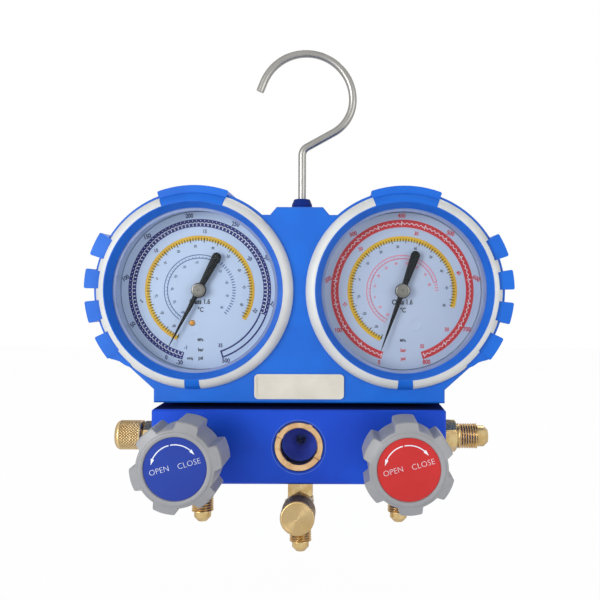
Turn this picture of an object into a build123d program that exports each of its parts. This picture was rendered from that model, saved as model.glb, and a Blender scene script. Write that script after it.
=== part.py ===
"""Two-valve refrigerant manifold gauge set, in millimetres.

+Z is up and the dials face -Y. Pieces are laid out from the centre of the manifold block, where
"forward" is the distance in front of that centre, and are saved with the hang point as origin.
"""
from build123d import *
import os
from math import asin, atan2, cos, degrees, pi, radians, sin, sqrt, tan

# ---- Fits --------------------------------------------------------------------------------------
THREAD_FIT = 0.05       # radial gap of a screwed joint
SLIDING_FIT = 0.05      # radial gap of a shaft that turns or slides in its hole
SEAT_GAP = 0.02         # gap of two faces that only lie against each other
POCKET_FIT = 0.15       # gap of a moulded pocket round what it holds
OVER = 1.0              # length by which a cut runs past the face that it opens
HEX_TURN = 30.0         # degrees that turn a hexagon's flats from its corners

# ---- Manifold block ----------------------------------------------------------------------------
BLOCK_W = 144.0
BLOCK_D = 36.0
BLOCK_H = 36.5
BLOCK_CHAMFER = 0.8
VALVE_X = 50.0          # from the middle to each valve axis, and to each hose port
GALLERY_R = 2.5
GALLERY_BACK = 12.0     # the cross gallery lies this far behind the middle
PASSAGE_R = 2.0
BLOCK_THREAD_R = 5.1    # 1/8 NPT, taken at its middle
BLOCK_THREAD_DEPTH = 9.0
SIDE_PORT_Z = 2.5

# ---- Valves ------------------------------------------------------------------------------------
PISTON_BORE_R = 6.0
SEAT_BACK = 8.0         # the valve seat lies this far behind the middle
ORIFICE_R = 2.2
PISTON_NOSE_R = 3.6
PISTON_NOSE_BEVEL = 0.8
PISTON_LAND_FRONT = 8.0
PISTON_LAND_LEN = 5.0
PISTON_RING_WIDTH = 2.0
PISTON_RING_DEPTH = 1.3
BONNET_THREAD_R = 8.0
BONNET_THREAD_LEN = 6.0
BONNET_HEX = 20.0
BONNET_HEX_LEN = 6.0
BONNET_NECK_R = 7.5
BONNET_NECK_LEN = 4.0
STEM_R = 4.0
STEM_PILOT_R = 2.0
STEM_PILOT_LEN = 3.0
STEM_END_R = 3.0
KNOB_FACE = 48.0        # label face in front of the block's front
KNOB_LEN = 24.0
KNOB_LOBES = 6
KNOB_LOBE_R = 20.2
KNOB_VALLEY_R = 17.4
KNOB_LOBE_SHARE = 0.46  # of the pitch that a lobe's crest fills
KNOB_FLANK = 5.0        # degrees that a lobe's flank takes
KNOB_TAPER = 0.5        # degrees, smaller at the front
KNOB_RIM_R = 15.8
KNOB_RIM_HIGH = 0.8
KNOB_SHOULDER = 1.6     # drop from the rim to the lobes' front edge
KNOB_EDGE = 1.1         # width and height of the lobes' bevelled front edge
KNOB_WALL = 2.6
KNOB_HUB_R = 7.0
KNOB_HUB_DROP = 5.0     # hub below the skirt
LABEL_R = 13.6
LABEL_T = 1.0
KNOB_TURN = {-1: 15.0, 1: 33.0}   # degrees to the first lobe when closed
KNOB_SCREW_R = 1.5
KNOB_SCREW_LEN = 9.0
KNOB_SCREW_HEAD_R = 3.2
KNOB_SCREW_HEAD_LEN = 2.4
KNOB_SCREW_END_GAP = 1.0    # from the screw's tip to the end of its hole
KNOB_SCREW_ROOM = 0.4       # round the screw's head
KNOB_WEB = 1.5              # between the knob's hollow and the stem's end
KNOB_FACE_WALL = 5.5
SLOT_W = 0.8                # screwdriver slots and crosses
SLOT_DEPTH = 0.8

# ---- Sight glass -------------------------------------------------------------------------------
GLASS_RING_R = 12.1
GLASS_RING_HOLE_R = 9.0
GLASS_RING_LEN = 4.0
GLASS_RING_SET = 0.5    # below the block's front
GLASS_T = 4.0
GLASS_SEAL_T = 1.4
GLASS_SLOT_W = 2.0
GLASS_SLOT_DEPTH = 1.0
GLASS_SLOT_TURN = 61.0
GLASS_CONE_LEN = 11.0
GLASS_CONE_R = 2.6
GLASS_RIM_CHAMFER = 1.0
GLASS_RING_CHAMFER = 0.4

# ---- Flare fittings ----------------------------------------------------------------------------
FLARE_14 = {"thread": 5.556, "len": 10.4, "neck": 4.3, "nose": 5.2, "tip": 2.4, "bore": 1.9}
FLARE_516 = {"thread": 6.35, "len": 10.4, "neck": 5.3, "nose": 5.6, "tip": 3.4, "bore": 2.9}
FLARE_BEVEL = 0.6
SPIGOT_LEN = 8.4
HEX_14 = 12.4
HEX_516 = 14.3
HEX_LEN = 7.2
TEE_HEX_LEN = 9.8
TEE_BODY_R = 6.6
TEE_BODY_LEN = 12.5
TEE_ARM_DROP = 13.75    # arm axis below the block's underside
TEE_COLLAR_HEX = 17.0
TEE_COLLAR_FRONT = 14.0
TEE_COLLAR_LEN = 6.0
CORE_R = 1.5
CORE_LEN = 9.0
CORE_SUNK = 1.0
CAP_R = 7.4
CAP_LEN = 13.7
CAP_WALL = 1.1
CAP_ROUND = 2.6
CAP_START = 0.9         # open end of a cap beyond the hex that it faces
TEE_CAP_R = 8.3
CAP_SEAL_T = 0.8
CAPPED_THREAD_LEN = 8.5

# ---- Gauges ------------------------------------------------------------------------------------
GAUGE_UP = 76.4         # gauge axis above the block's centre
SPLIT_BACK = 5.0        # joint of the two shells, with the sockets and the hook in it
DIAL_R = 40.0
DIAL_T = 0.8
DIAL_FORWARD = 1.8
DIAL_HOLE_R = 2.0
CASE_GAP = 0.3
CASE_WALL = 1.0
CASE_BACK = 14.0
CASE_FORWARD = 10.8
CASE_CORNER_R = 2.5
LENS_T = 2.5
BEZEL_WALL = 0.65
BEZEL_LIP = 2.0
BEZEL_SKIRT = 9.0
BEZEL_EDGE = 0.3
SOCKET_NECK_R = 5.4
SOCKET_HEX = 14.0
SOCKET_HEX_LEN = 9.0
SOCKET_BLOCK_W = 12.0
SOCKET_BLOCK_TOP = 25.0     # below the gauge axis
SOCKET_BORE_R = 1.2
TUBE_MEAN_R = 30.0
TUBE_THICK = 3.0
TUBE_WIDE = 5.6
TUBE_WALL = 0.5
TUBE_FLAT = 0.1             # straight part of the tube's rounded ends
TUBE_LAP = 2.0              # degrees that the hollow tube runs into its socket
TUBE_ARC = 248.0
TUBE_TIP_LEN = 4.0
TUBE_LUG_IN_R = 24.0
TUBE_LUG_W = 3.4
TUBE_LUG_T = 0.8

# ---- Movement ----------------------------------------------------------------------------------
PLATE_T = 1.2
PLATE_W = 13.0
PLATE_TOP = 6.0
PLATE_LAP = 6.0             # of the plates on the socket's block
PLATE_CORNER_R = 2.0
PLATE_FRONT = 0.2           # face of the front plate, forward of the middle
MOVEMENT_SPACE = 6.8        # between the plates
PILLAR_R = 1.2
PILLAR_X = 4.6
PILLAR_Z = 4.0
GEAR_MODULE = 0.4
PINION_TEETH = 10
SECTOR_TEETH = 80           # of the whole wheel
SECTOR_CUT_TEETH = 13
PRESSURE_ANGLE = 20.0
TOOTH_THIN = 0.12           # taken off each tooth's thickness at the pitch line
GEAR_LONG = 0.04            # centre distance beyond the sum of the pitch radii
PINION_ADDENDUM = 1.0
SECTOR_ADDENDUM = 0.7
PINION_DEDENDUM = 1.0
SECTOR_DEDENDUM = 1.25
PINION_FACE = 2.4
SECTOR_FACE = 1.0
ARBOR_R = 0.6
SECTOR_HUB_R = 1.8
SECTOR_RIM_W = 3.2
SECTOR_END = 0.4            # of a tooth's pitch, beyond the last cut tooth
SECTOR_ARM_W = 2.2
SECTOR_ARM_LAP = 0.5
SECTOR_TAIL = 7.0
SECTOR_REST_TEETH = 4       # turned this far clockwise from its middle with no pressure
TAIL_REST_ANGLE = -45.0
LINK_W = 2.0
LINK_T = 0.8
LINK_LEN = 29.0
LINK_ANGLE = 49.3
LINK_PIN_R = 0.5
LINK_GAP = 0.2              # between the link and the sector, and the link and the tube's lug
POINTER_LOW_ZERO = 242.0
POINTER_HIGH_ZERO = 250.4
POINTER_LEN = 33.0
POINTER_TAIL_LEN = 21.5
POINTER_TIP_W = 0.7
POINTER_POINT_LEN = 4.0
POINTER_POINT_W = 0.24
POINTER_ROOT_W = 2.6
POINTER_TAIL_W = 3.4
POINTER_T = 0.5
POINTER_FORWARD = 4.6
POINTER_HUB_R = 3.4
POINTER_CAP_R = 3.0
POINTER_CAP_T = 1.2
POINTER_CAP_EDGE = 0.4

# ---- Housing -----------------------------------------------------------------------------------
SHELL_GAP = 2.8             # housing above the block
SHELL_FRONT = 15.0          # panel face, forward of the middle
SHELL_BACK = 18.0
SHELL_WALL = 2.5
COLLAR_WALL = 2.2
OPENING_R = 40.8
OPENING_FORWARD = 14.7
RING_FORWARD = 20.0         # crest of each gauge ring
RING_SLOPE_W = 2.9          # from the opening out to the crest
RING_CREST_W = 0.4
TRIM_W = 4.8                # from the crest out to the panel
TRIM_FORWARD = 14.6
TRIM_DROP = 0.15            # step from the crest to the trim
TRIM_BULGE = (0.72, 0.66)   # middle of its quarter round, as shares of its width and height
TRIM_SUNK = 0.6             # foot of the trim let into the panel
TRIM_APART = 3.0            # from the trim to the middle of the housing
BRIDGE_INSET = 0.1          # degrees that a blue bridge is shorter than its gap
EDGE_W = 1.3                # panel outside the trim
LUG_PROUD = 4.2             # of the side lugs, beyond the panel's edge
TOP_LUG_PROUD = 1.8
LUG_LAP = 2.2               # of the lugs over the trim's outer edge
LUG_FORWARD = 17.0
LUG_BACK = 2.0              # of the lugs, forward of the housing's back
LUG_CORNER = 0.9
LUGS = ((148.4, 161.2), (168.6, 179.1), (186.0, 197.6), (205.5, 218.9))
TOP_LUG = (71.1, 110.9)
BRIDGE = (264.7, 274.0)
BASE_END = 7.0              # from the outer screws to the ends of the base
BASE_CORNER_Z = 27.6
BASE_TANGENT = 225.0        # degrees round the gauge where the base's slope leaves the ring
CREST_TOP_Z = 117.6
CREST_HALF_W = 11.4
CREST_FOOT_HALF_W = 15.4
CREST_FOOT_Z = 112.9
VALLEY_X = 18.6
SHELL_CHAMFER = 0.8
RIB_T = 1.6
RIB_COUNT = 16
RIB_CLEAR = 2.0             # of the ribs, below the joint of the shells
HOOK_WELL = 16.0            # hollow under the rod's lower end
BOSS_R = 3.4
BOSS_CLEAR = 1.57           # from a boss to the pocket of the gauge's hexagon
BOSS_LAP = 0.5              # of a boss into the base's wall
BOSS_SHARE = 0.55           # place of the upper bosses between the middle and the valley's end
BOSS_HOLE_SHORT = 4.0
BOSS_HOLE_R = 1.3
SCREW_R = 1.2
SCREW_HEAD_R = 2.6
SCREW_HEAD_LEN = 1.8
SCREW_LEN = 16.0
SCREW_ROOM = 0.2
SCREW_SUNK = 0.4
SCREW_CROSS_W = 0.7
SCREW_CROSS_LEN = 3.4
PLATE_LABEL_W = 44.0
PLATE_LABEL_H = 12.2
PLATE_LABEL_T = 1.4
PLATE_LABEL_R = 2.0
PLATE_LABEL_FRAME = 1.2
PLATE_LABEL_FIELD = 0.4     # depth of the field inside the frame
PLATE_LABEL_SUNK = 0.5
PLATE_LABEL_UP = 29.2       # its middle above the block's centre

# ---- Hook --------------------------------------------------------------------------------------
HOOK_ROD_R = 2.0
HOOK_BEND_R = 5.0
HOOK_CORNER_Z = 149.2
HOOK_RUN_RISE = 29.0        # degrees above level
HOOK_LOOP_X = 2.2
HOOK_LOOP_Z = 175.1
HOOK_LOOP_R = 23.95
HOOK_LOOP_END = 158.0
HOOK_TIP_LEN = 5.0
HOOK_TAIL_Z = 101.0
BUSH_R = 5.4
BUSH_NECK_R = 4.2
BUSH_HIGH = 3.2
BUSH_ROUND = 1.6
BUSH_FLANGE_T = 2.0
CLIP_R = 4.4
CLIP_T = 1.2
CLIP_GROOVE_R = 1.4
CLIP_UP = 3.0               # groove above the rod's lower end

# ---- Derived places ----------------------------------------------------------------------------
SIDES = (-1, 1)
NAMES = {-1: "low", 1: "high"}
BLOCK_FRONT = BLOCK_D / 2
BLOCK_TOP = BLOCK_H / 2
BLOCK_END = BLOCK_W / 2
PISTON_BORE_FRONT = BLOCK_FRONT - BONNET_THREAD_LEN
CAPPED_LEN = CAP_START + CAP_LEN - CAP_WALL - CAP_SEAL_T - 2 * SEAT_GAP
FLARE_14_CAPPED = FLARE_14 | {"len": CAPPED_THREAD_LEN, "nose": CAPPED_LEN - CAPPED_THREAD_LEN}
BASE_Z = BLOCK_TOP + SHELL_GAP
RING_R = OPENING_R + RING_SLOPE_W
TRIM_R = RING_R + TRIM_W
SHELL_R = TRIM_R + EDGE_W
LUG_R = SHELL_R + LUG_PROUD
LUG_INNER_R = TRIM_R - LUG_LAP
TOP_LUG_R = SHELL_R + TOP_LUG_PROUD
GAUGE_X = TRIM_R + TRIM_APART
SOCKET_POCKET_R = SOCKET_HEX / sqrt(3) + POCKET_FIT
OUTER_SCREW_X = GAUGE_X + SOCKET_POCKET_R + BOSS_CLEAR + BOSS_R
BASE_HALF_W = OUTER_SCREW_X + BASE_END
CASE_IN_R = DIAL_R + CASE_GAP
CASE_R = CASE_IN_R + CASE_WALL
BEZEL_R = CASE_R + SLIDING_FIT + BEZEL_WALL
LENS_R = CASE_R
BEZEL_FRONT = CASE_FORWARD + LENS_T + BEZEL_WALL
COLLAR_IN_R = BEZEL_R + POCKET_FIT
PINION_R = GEAR_MODULE * PINION_TEETH / 2
SECTOR_R = GEAR_MODULE * SECTOR_TEETH / 2
GEAR_CENTRES = PINION_R + SECTOR_R + GEAR_LONG
BACK_PLATE_FRONT = PLATE_FRONT - PLATE_T - MOVEMENT_SPACE
MOVEMENT_MID = PLATE_FRONT - PLATE_T - MOVEMENT_SPACE / 2
HANG_POINT = (HOOK_LOOP_X, SPLIT_BACK, HOOK_LOOP_Z + HOOK_LOOP_R - HOOK_ROD_R)


# ---- Helpers -----------------------------------------------------------------------------------
def facing_front(x, z, forward=0.0):
    """Plane at x, z whose local Z looks out of the front, with local Y up."""
    return Plane(origin=(x, -forward, z), x_dir=(1, 0, 0), z_dir=(0, -1, 0))


def facing_down(x, y, z):
    return Plane(origin=(x, y, z), x_dir=(1, 0, 0), z_dir=(0, 0, -1))


def facing_side(side, y, z):
    """Plane on the block's left (-1) or right (1) end, looking outwards."""
    return Plane(origin=(side * BLOCK_END, y, z), x_dir=(0, side, 0), z_dir=(side, 0, 0))


def gauge_plane(side):
    return facing_front(side * GAUGE_X, GAUGE_UP)


def turned(*points):
    """Solid of revolution about local Z of an outline of (radius, height) points."""
    return revolve(Plane.XZ * make_face(Polyline(*points, close=True)), Axis.Z)


def rod(radius, low, high):
    """Cylinder on local Z between two heights."""
    return Pos(0, 0, (low + high) / 2) * Cylinder(radius, high - low)


def washer(outer, inner, low, high):
    return rod(outer, low, high) - rod(inner, low - OVER, high + OVER)


def hexagon(across_flats, low, high, turn=0.0, bevel=0.6):
    """Hexagonal bar on local Z with a corner on local X turned by turn, and both ends bevelled."""
    corner = across_flats / sqrt(3)
    bar = extrude(Rot(0, 0, turn) * RegularPolygon(corner, 6), high - low)
    cone = turned(
        (0, 0), (corner - bevel, 0), (corner, bevel / sqrt(3)),
        (corner, high - low - bevel / sqrt(3)), (corner - bevel, high - low), (0, high - low),
    )
    return Pos(0, 0, low) * (bar & cone)


def polar(radius, angle):
    return (radius * cos(radians(angle)), radius * sin(radians(angle)))


def sector_face(inner, outer, start, end):
    """Flat ring segment between two radii and two angles in degrees."""
    mid = (start + end) / 2
    outline = [
        Line(polar(inner, start), polar(outer, start)),
        ThreePointArc(polar(outer, start), polar(outer, mid), polar(outer, end)),
        Line(polar(outer, end), polar(inner, end)),
        ThreePointArc(polar(inner, end), polar(inner, mid), polar(inner, start)),
    ]
    return make_face(outline)


def mirrored_angle(side, start, end):
    """The angles are given for the left gauge; the right one is its mirror image."""
    return (start, end) if side < 0 else (180 - end, 180 - start)


# ---- Manifold block ----------------------------------------------------------------------------
def valve_cavity():
    """Hollow for one valve, from the block's front: bonnet thread, piston bore, orifice."""
    return (
        rod(BONNET_THREAD_R, PISTON_BORE_FRONT, BLOCK_FRONT)
        + rod(PISTON_BORE_R, -SEAT_BACK, PISTON_BORE_FRONT)
        + rod(ORIFICE_R, -GALLERY_BACK, -SEAT_BACK)
    )


def threaded_port(passage_len):
    """Hollow of a port on local Z, which points out of the block, with its mouth at 0."""
    return rod(BLOCK_THREAD_R, -BLOCK_THREAD_DEPTH, 0) + rod(PASSAGE_R, -passage_len, 0)


def glass_chamber():
    """Hollow for the sight glass: ring thread, glass seat, and the cone down to the gallery."""
    seat = BLOCK_FRONT - GLASS_RING_SET - GLASS_RING_LEN - GLASS_T - GLASS_SEAL_T
    rim = GLASS_RING_R + THREAD_FIT + GLASS_RIM_CHAMFER
    return turned(
        (0, -GALLERY_BACK), (GLASS_CONE_R, -GALLERY_BACK), (GLASS_CONE_R, seat - GLASS_CONE_LEN),
        (GLASS_RING_HOLE_R, seat), (GLASS_RING_R + THREAD_FIT, seat),
        (GLASS_RING_R + THREAD_FIT, BLOCK_FRONT - GLASS_RIM_CHAMFER), (rim, BLOCK_FRONT),
        (0, BLOCK_FRONT),
    )


def manifold_block():
    """Drilled bar that joins both valves, the sight glass and every port."""
    body = Box(BLOCK_W, BLOCK_D, BLOCK_H)
    body = chamfer(body.edges(), BLOCK_CHAMFER)
    body -= facing_front(0, 0) * glass_chamber()
    body -= facing_down(0, 0, -BLOCK_TOP) * threaded_port(BLOCK_TOP)
    gallery = Pos(0, GALLERY_BACK, 0) * Rot(0, 90, 0) * Cylinder(GALLERY_R, 2 * VALVE_X)
    body -= gallery
    for side in SIDES:
        body -= facing_front(side * VALVE_X, 0) * valve_cavity()
        body -= facing_down(side * VALVE_X, 0, -BLOCK_TOP) * threaded_port(BLOCK_TOP - PISTON_NOSE_R)
        body -= facing_side(side, 0, SIDE_PORT_Z) * threaded_port(BLOCK_END - VALVE_X - PISTON_NOSE_R)
        top = Pos(side * GAUGE_X, SPLIT_BACK, BLOCK_TOP)
        body -= top * threaded_port(BLOCK_TOP - PISTON_NOSE_R)
    return body


# ---- Sight glass -------------------------------------------------------------------------------
def sight_glass_ring():
    front = BLOCK_FRONT - GLASS_RING_SET
    back = front - GLASS_RING_LEN
    ring = washer(GLASS_RING_R, GLASS_RING_HOLE_R, back, front)
    ring = chamfer(ring.edges().filter_by(GeomType.CIRCLE).group_by(Axis.Z)[-1], GLASS_RING_CHAMFER)
    slot = Box(GLASS_RING_R - GLASS_RING_HOLE_R + OVER, GLASS_SLOT_W, 2 * GLASS_SLOT_DEPTH)
    for quarter in range(4):
        turn = GLASS_SLOT_TURN + 90 * quarter
        ring -= Rot(0, 0, turn) * Pos((GLASS_RING_R + GLASS_RING_HOLE_R) / 2, 0, front) * slot
    return facing_front(0, 0) * ring


def sight_glass_lens():
    front = BLOCK_FRONT - GLASS_RING_SET - GLASS_RING_LEN - SEAT_GAP
    return facing_front(0, 0) * rod(GLASS_RING_R - POCKET_FIT, front - GLASS_T, front)


def sight_glass_seal():
    front = BLOCK_FRONT - GLASS_RING_SET - GLASS_RING_LEN - GLASS_T - SEAT_GAP
    seal = washer(GLASS_RING_R - POCKET_FIT, GLASS_RING_HOLE_R, front - GLASS_SEAL_T + SEAT_GAP, front)
    return facing_front(0, 0) * seal


# ---- Fittings ----------------------------------------------------------------------------------
def flare_end(size, start):
    """Male flare from a hex face at start: thread, neck and 45 degree nose, still solid inside."""
    end = start + size["len"] + size["nose"]
    cone = end - (size["neck"] - size["tip"])
    return turned(
        (0, start), (size["thread"] - FLARE_BEVEL, start), (size["thread"], start + FLARE_BEVEL),
        (size["thread"], start + size["len"] - FLARE_BEVEL), (size["neck"], start + size["len"]),
        (size["neck"], cone), (size["tip"], end), (0, end),
    )


def fitting(size, across_flats):
    """Straight flare fitting, screwed into a port whose mouth is at local 0."""
    body = rod(BLOCK_THREAD_R - THREAD_FIT, -SPIGOT_LEN, 0)
    body += hexagon(across_flats, 0, HEX_LEN, turn=HEX_TURN)
    body += flare_end(size, HEX_LEN)
    return body - rod(size["bore"], -SPIGOT_LEN - OVER, HEX_LEN + size["len"] + size["nose"] + OVER)


def charging_tee():
    """Tee under the middle: hex nipple, body, downward flare and a forward access arm."""
    plane = facing_down(0, 0, -BLOCK_TOP)
    body_end = TEE_HEX_LEN + TEE_BODY_LEN
    run = rod(BLOCK_THREAD_R - THREAD_FIT, -SPIGOT_LEN, 0)
    run += hexagon(HEX_14, 0, TEE_HEX_LEN, turn=HEX_TURN)
    run += rod(TEE_BODY_R, TEE_HEX_LEN, body_end)
    run += flare_end(FLARE_14, body_end)
    arm = rod(TEE_BODY_R, 0, TEE_COLLAR_FRONT - TEE_COLLAR_LEN)
    arm += hexagon(TEE_COLLAR_HEX, TEE_COLLAR_FRONT - TEE_COLLAR_LEN, TEE_COLLAR_FRONT, turn=HEX_TURN)
    arm += flare_end(FLARE_14_CAPPED, TEE_COLLAR_FRONT)
    arm_end = TEE_COLLAR_FRONT + FLARE_14_CAPPED["len"] + FLARE_14_CAPPED["nose"]
    bore = FLARE_14["bore"]
    down = plane * rod(bore, -SPIGOT_LEN - OVER, body_end + FLARE_14["len"] + FLARE_14["nose"] + OVER)
    front = facing_front(0, -BLOCK_TOP - TEE_ARM_DROP)
    tee = plane * run + front * arm
    return tee - down - front * rod(bore, 0, arm_end + OVER)


def tee_valve_core():
    """Access valve core that fills the arm's bore."""
    end = TEE_COLLAR_FRONT + FLARE_14_CAPPED["len"] + FLARE_14_CAPPED["nose"] - CORE_SUNK
    core = rod(FLARE_14["bore"] - THREAD_FIT, end - CORE_LEN, end - CORE_LEN / 2)
    core += rod(CORE_R / 2, end - CORE_LEN / 2, end)
    return facing_front(0, -BLOCK_TOP - TEE_ARM_DROP) * core


def cap(radius, size, bevel):
    """Round cap over a capped flare whose hex face is at local 0; its knurl is a plain band here."""
    start = CAP_START
    end = start + CAP_LEN
    shell = rod(radius, start, end)
    if bevel:
        shell = chamfer(shell.edges().group_by(Axis.Z)[-1], bevel)
    else:
        shell = fillet(shell.edges().group_by(Axis.Z)[-1], CAP_ROUND)
    inside = rod(size["thread"] + THREAD_FIT, start - OVER, end - CAP_WALL)
    return shell - inside


def cap_seal(size):
    """Washer in the end of a cap, clear of the flare's nose."""
    end = CAP_START + CAP_LEN - CAP_WALL - SEAT_GAP
    return rod(size["thread"] - THREAD_FIT, end - CAP_SEAL_T + SEAT_GAP, end)


# ---- Valves ------------------------------------------------------------------------------------
def valve_bonnet():
    """Hex bonnet that closes a valve cavity and carries the stem's thread."""
    hex_end = BLOCK_FRONT + BONNET_HEX_LEN
    body = rod(BONNET_THREAD_R - THREAD_FIT, PISTON_BORE_FRONT + SEAT_GAP, BLOCK_FRONT)
    body += hexagon(BONNET_HEX, BLOCK_FRONT, hex_end)
    body += rod(BONNET_NECK_R, hex_end, hex_end + BONNET_NECK_LEN)
    return body - rod(STEM_R + SLIDING_FIT, PISTON_BORE_FRONT - OVER, hex_end + BONNET_NECK_LEN + OVER)


def valve_piston():
    """Piston with a seating nose and a land, grooved for its ring, on local Z."""
    land_back = PISTON_LAND_FRONT - PISTON_LAND_LEN
    land_r = PISTON_BORE_R - SLIDING_FIT
    ring_low = PISTON_LAND_FRONT - (PISTON_LAND_LEN + PISTON_RING_WIDTH) / 2
    body = turned(
        (0, -SEAT_BACK + SEAT_GAP), (PISTON_NOSE_R - PISTON_NOSE_BEVEL, -SEAT_BACK + SEAT_GAP),
        (PISTON_NOSE_R, -SEAT_BACK + SEAT_GAP + PISTON_NOSE_BEVEL), (PISTON_NOSE_R, land_back),
        (land_r, land_back),
        (land_r, ring_low), (land_r - PISTON_RING_DEPTH, ring_low),
        (land_r - PISTON_RING_DEPTH, ring_low + PISTON_RING_WIDTH),
        (land_r, ring_low + PISTON_RING_WIDTH), (land_r, PISTON_LAND_FRONT), (0, PISTON_LAND_FRONT),
    )
    pilot = STEM_PILOT_R + SLIDING_FIT
    return body - rod(pilot, PISTON_LAND_FRONT - STEM_PILOT_LEN - SLIDING_FIT, PISTON_LAND_FRONT + OVER)


def piston_seal():
    """Square-section ring in the piston's groove, a hair inside the bore."""
    ring_low = PISTON_LAND_FRONT - (PISTON_LAND_LEN + PISTON_RING_WIDTH) / 2
    inner = PISTON_BORE_R - SLIDING_FIT - PISTON_RING_DEPTH
    return washer(
        PISTON_BORE_R - SEAT_GAP, inner + SEAT_GAP, ring_low + SEAT_GAP,
        ring_low + PISTON_RING_WIDTH - SEAT_GAP,
    )


def knob_face():
    return BLOCK_FRONT + KNOB_FACE


def stem_end():
    return knob_face() - LABEL_T - KNOB_FACE_WALL


def hub_back():
    return knob_face() + KNOB_RIM_HIGH - KNOB_LEN - KNOB_HUB_DROP


def valve_stem():
    """Threaded stem, stepped to carry the knob, with a pilot that turns in the piston."""
    end = stem_end()
    start = PISTON_LAND_FRONT + SEAT_GAP
    body = rod(STEM_PILOT_R, start - STEM_PILOT_LEN, start)
    body += rod(STEM_R, start, hub_back())
    body += rod(STEM_END_R, hub_back(), end)
    return body - rod(KNOB_SCREW_R, end - KNOB_SCREW_LEN, end + OVER)


def lobe_outline(grow=0.0):
    """Outline of the knob: crest and valley arcs joined by straight flanks, about local Z."""
    pitch = 360 / KNOB_LOBES
    crest = KNOB_LOBE_SHARE * pitch / 2
    valley = pitch / 2 - crest - KNOB_FLANK
    outer, inner = KNOB_LOBE_R + grow, KNOB_VALLEY_R + grow
    edges = []
    for lobe in range(KNOB_LOBES):
        mid = lobe * pitch
        a, b = mid - crest, mid + crest
        c, d = b + KNOB_FLANK, b + KNOB_FLANK + 2 * valley
        edges.append(ThreePointArc(polar(outer, a), polar(outer, mid), polar(outer, b)))
        edges.append(Line(polar(outer, b), polar(inner, c)))
        edges.append(ThreePointArc(polar(inner, c), polar(inner, (c + d) / 2), polar(inner, d)))
        edges.append(Line(polar(inner, d), polar(outer, d + KNOB_FLANK)))
    return make_face(edges)


def knob():
    """Lobed hand wheel, hollow behind, with a raised rim round its label."""
    face = knob_face()
    top = face + KNOB_RIM_HIGH
    back = top - KNOB_LEN
    body = Pos(0, 0, back) * extrude(lobe_outline(), KNOB_LEN, taper=KNOB_TAPER)
    shape = turned(
        (0, back), (KNOB_LOBE_R, back), (KNOB_LOBE_R, top - KNOB_SHOULDER - KNOB_EDGE / 2),
        (KNOB_LOBE_R - KNOB_EDGE, top - KNOB_SHOULDER), (KNOB_RIM_R, top), (0, top),
    )
    body &= shape
    body += rod(KNOB_HUB_R, hub_back(), back)
    cavity_r = KNOB_VALLEY_R - KNOB_WALL
    body -= washer(cavity_r, KNOB_HUB_R, back - OVER, stem_end() - KNOB_WEB)
    body -= rod(LABEL_R + SEAT_GAP, face - LABEL_T, top + OVER)
    body -= rod(STEM_END_R, hub_back() - OVER, stem_end())
    body -= rod(KNOB_SCREW_HEAD_R + KNOB_SCREW_ROOM, stem_end(), face)
    return body


def knob_label():
    face = knob_face()
    return rod(LABEL_R, face - LABEL_T + SEAT_GAP, face)


def knob_screw():
    """Screw that holds the knob on its stem, under the label."""
    low = stem_end()
    head = rod(KNOB_SCREW_HEAD_R, low, low + KNOB_SCREW_HEAD_LEN)
    head -= Pos(0, 0, low + KNOB_SCREW_HEAD_LEN) * Box(2 * KNOB_SCREW_HEAD_R, SLOT_W, 2 * SLOT_DEPTH)
    return head + rod(KNOB_SCREW_R - SEAT_GAP, low - KNOB_SCREW_LEN + KNOB_SCREW_END_GAP, low)


# ---- Gauges ------------------------------------------------------------------------------------
def gauge_case():
    """Pressed steel cup, open at the front, with a hole for its socket."""
    floor = -CASE_BACK
    cup = rod(CASE_R, floor, CASE_FORWARD)
    cup = fillet(cup.edges().group_by(Axis.Z)[0], CASE_CORNER_R)
    hollow = rod(CASE_IN_R, floor + CASE_WALL, CASE_FORWARD + OVER)
    hollow = fillet(hollow.edges().group_by(Axis.Z)[0], CASE_CORNER_R - CASE_WALL)
    neck = Pos(0, -CASE_R, -SPLIT_BACK) * Rot(90, 0, 0) * Cylinder(SOCKET_NECK_R + SEAT_GAP, SOCKET_BLOCK_W)
    return cup - hollow - neck


def gauge_bezel():
    """Rolled ring that clamps the lens on the case."""
    skirt_in = CASE_R + SLIDING_FIT
    lip_in = CASE_R - BEZEL_LIP
    lip_back = CASE_FORWARD + LENS_T
    return turned(
        (skirt_in, BEZEL_FRONT - BEZEL_SKIRT), (BEZEL_R, BEZEL_FRONT - BEZEL_SKIRT),
        (BEZEL_R, BEZEL_FRONT - BEZEL_EDGE), (BEZEL_R - BEZEL_EDGE, BEZEL_FRONT), (lip_in, BEZEL_FRONT),
        (lip_in, lip_back), (skirt_in, lip_back),
    )


def gauge_lens():
    return rod(LENS_R, CASE_FORWARD, CASE_FORWARD + LENS_T)


def gauge_dial():
    """Printed disc with a hole for the arbor, resting on the movement's front plate."""
    low = PLATE_FRONT
    dial = washer(DIAL_R, DIAL_HOLE_R, DIAL_FORWARD - DIAL_T, DIAL_FORWARD)
    for x in (-PILLAR_X, PILLAR_X):
        dial += Pos(x, -PLATE_W, 0) * rod(PILLAR_R, low, DIAL_FORWARD - DIAL_T)
    return dial


def socket_block_low():
    """Underside of the socket's block, whose corners just clear the case."""
    return -sqrt((CASE_IN_R - SEAT_GAP) ** 2 - (SOCKET_BLOCK_W / 2) ** 2)


def socket_block():
    """Block inside the case that holds the tube and the movement's plates."""
    low = socket_block_low()
    height = -SOCKET_BLOCK_TOP - low
    return Pos(0, low + height / 2, MOVEMENT_MID) * Box(SOCKET_BLOCK_W, height, MOVEMENT_SPACE)


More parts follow.
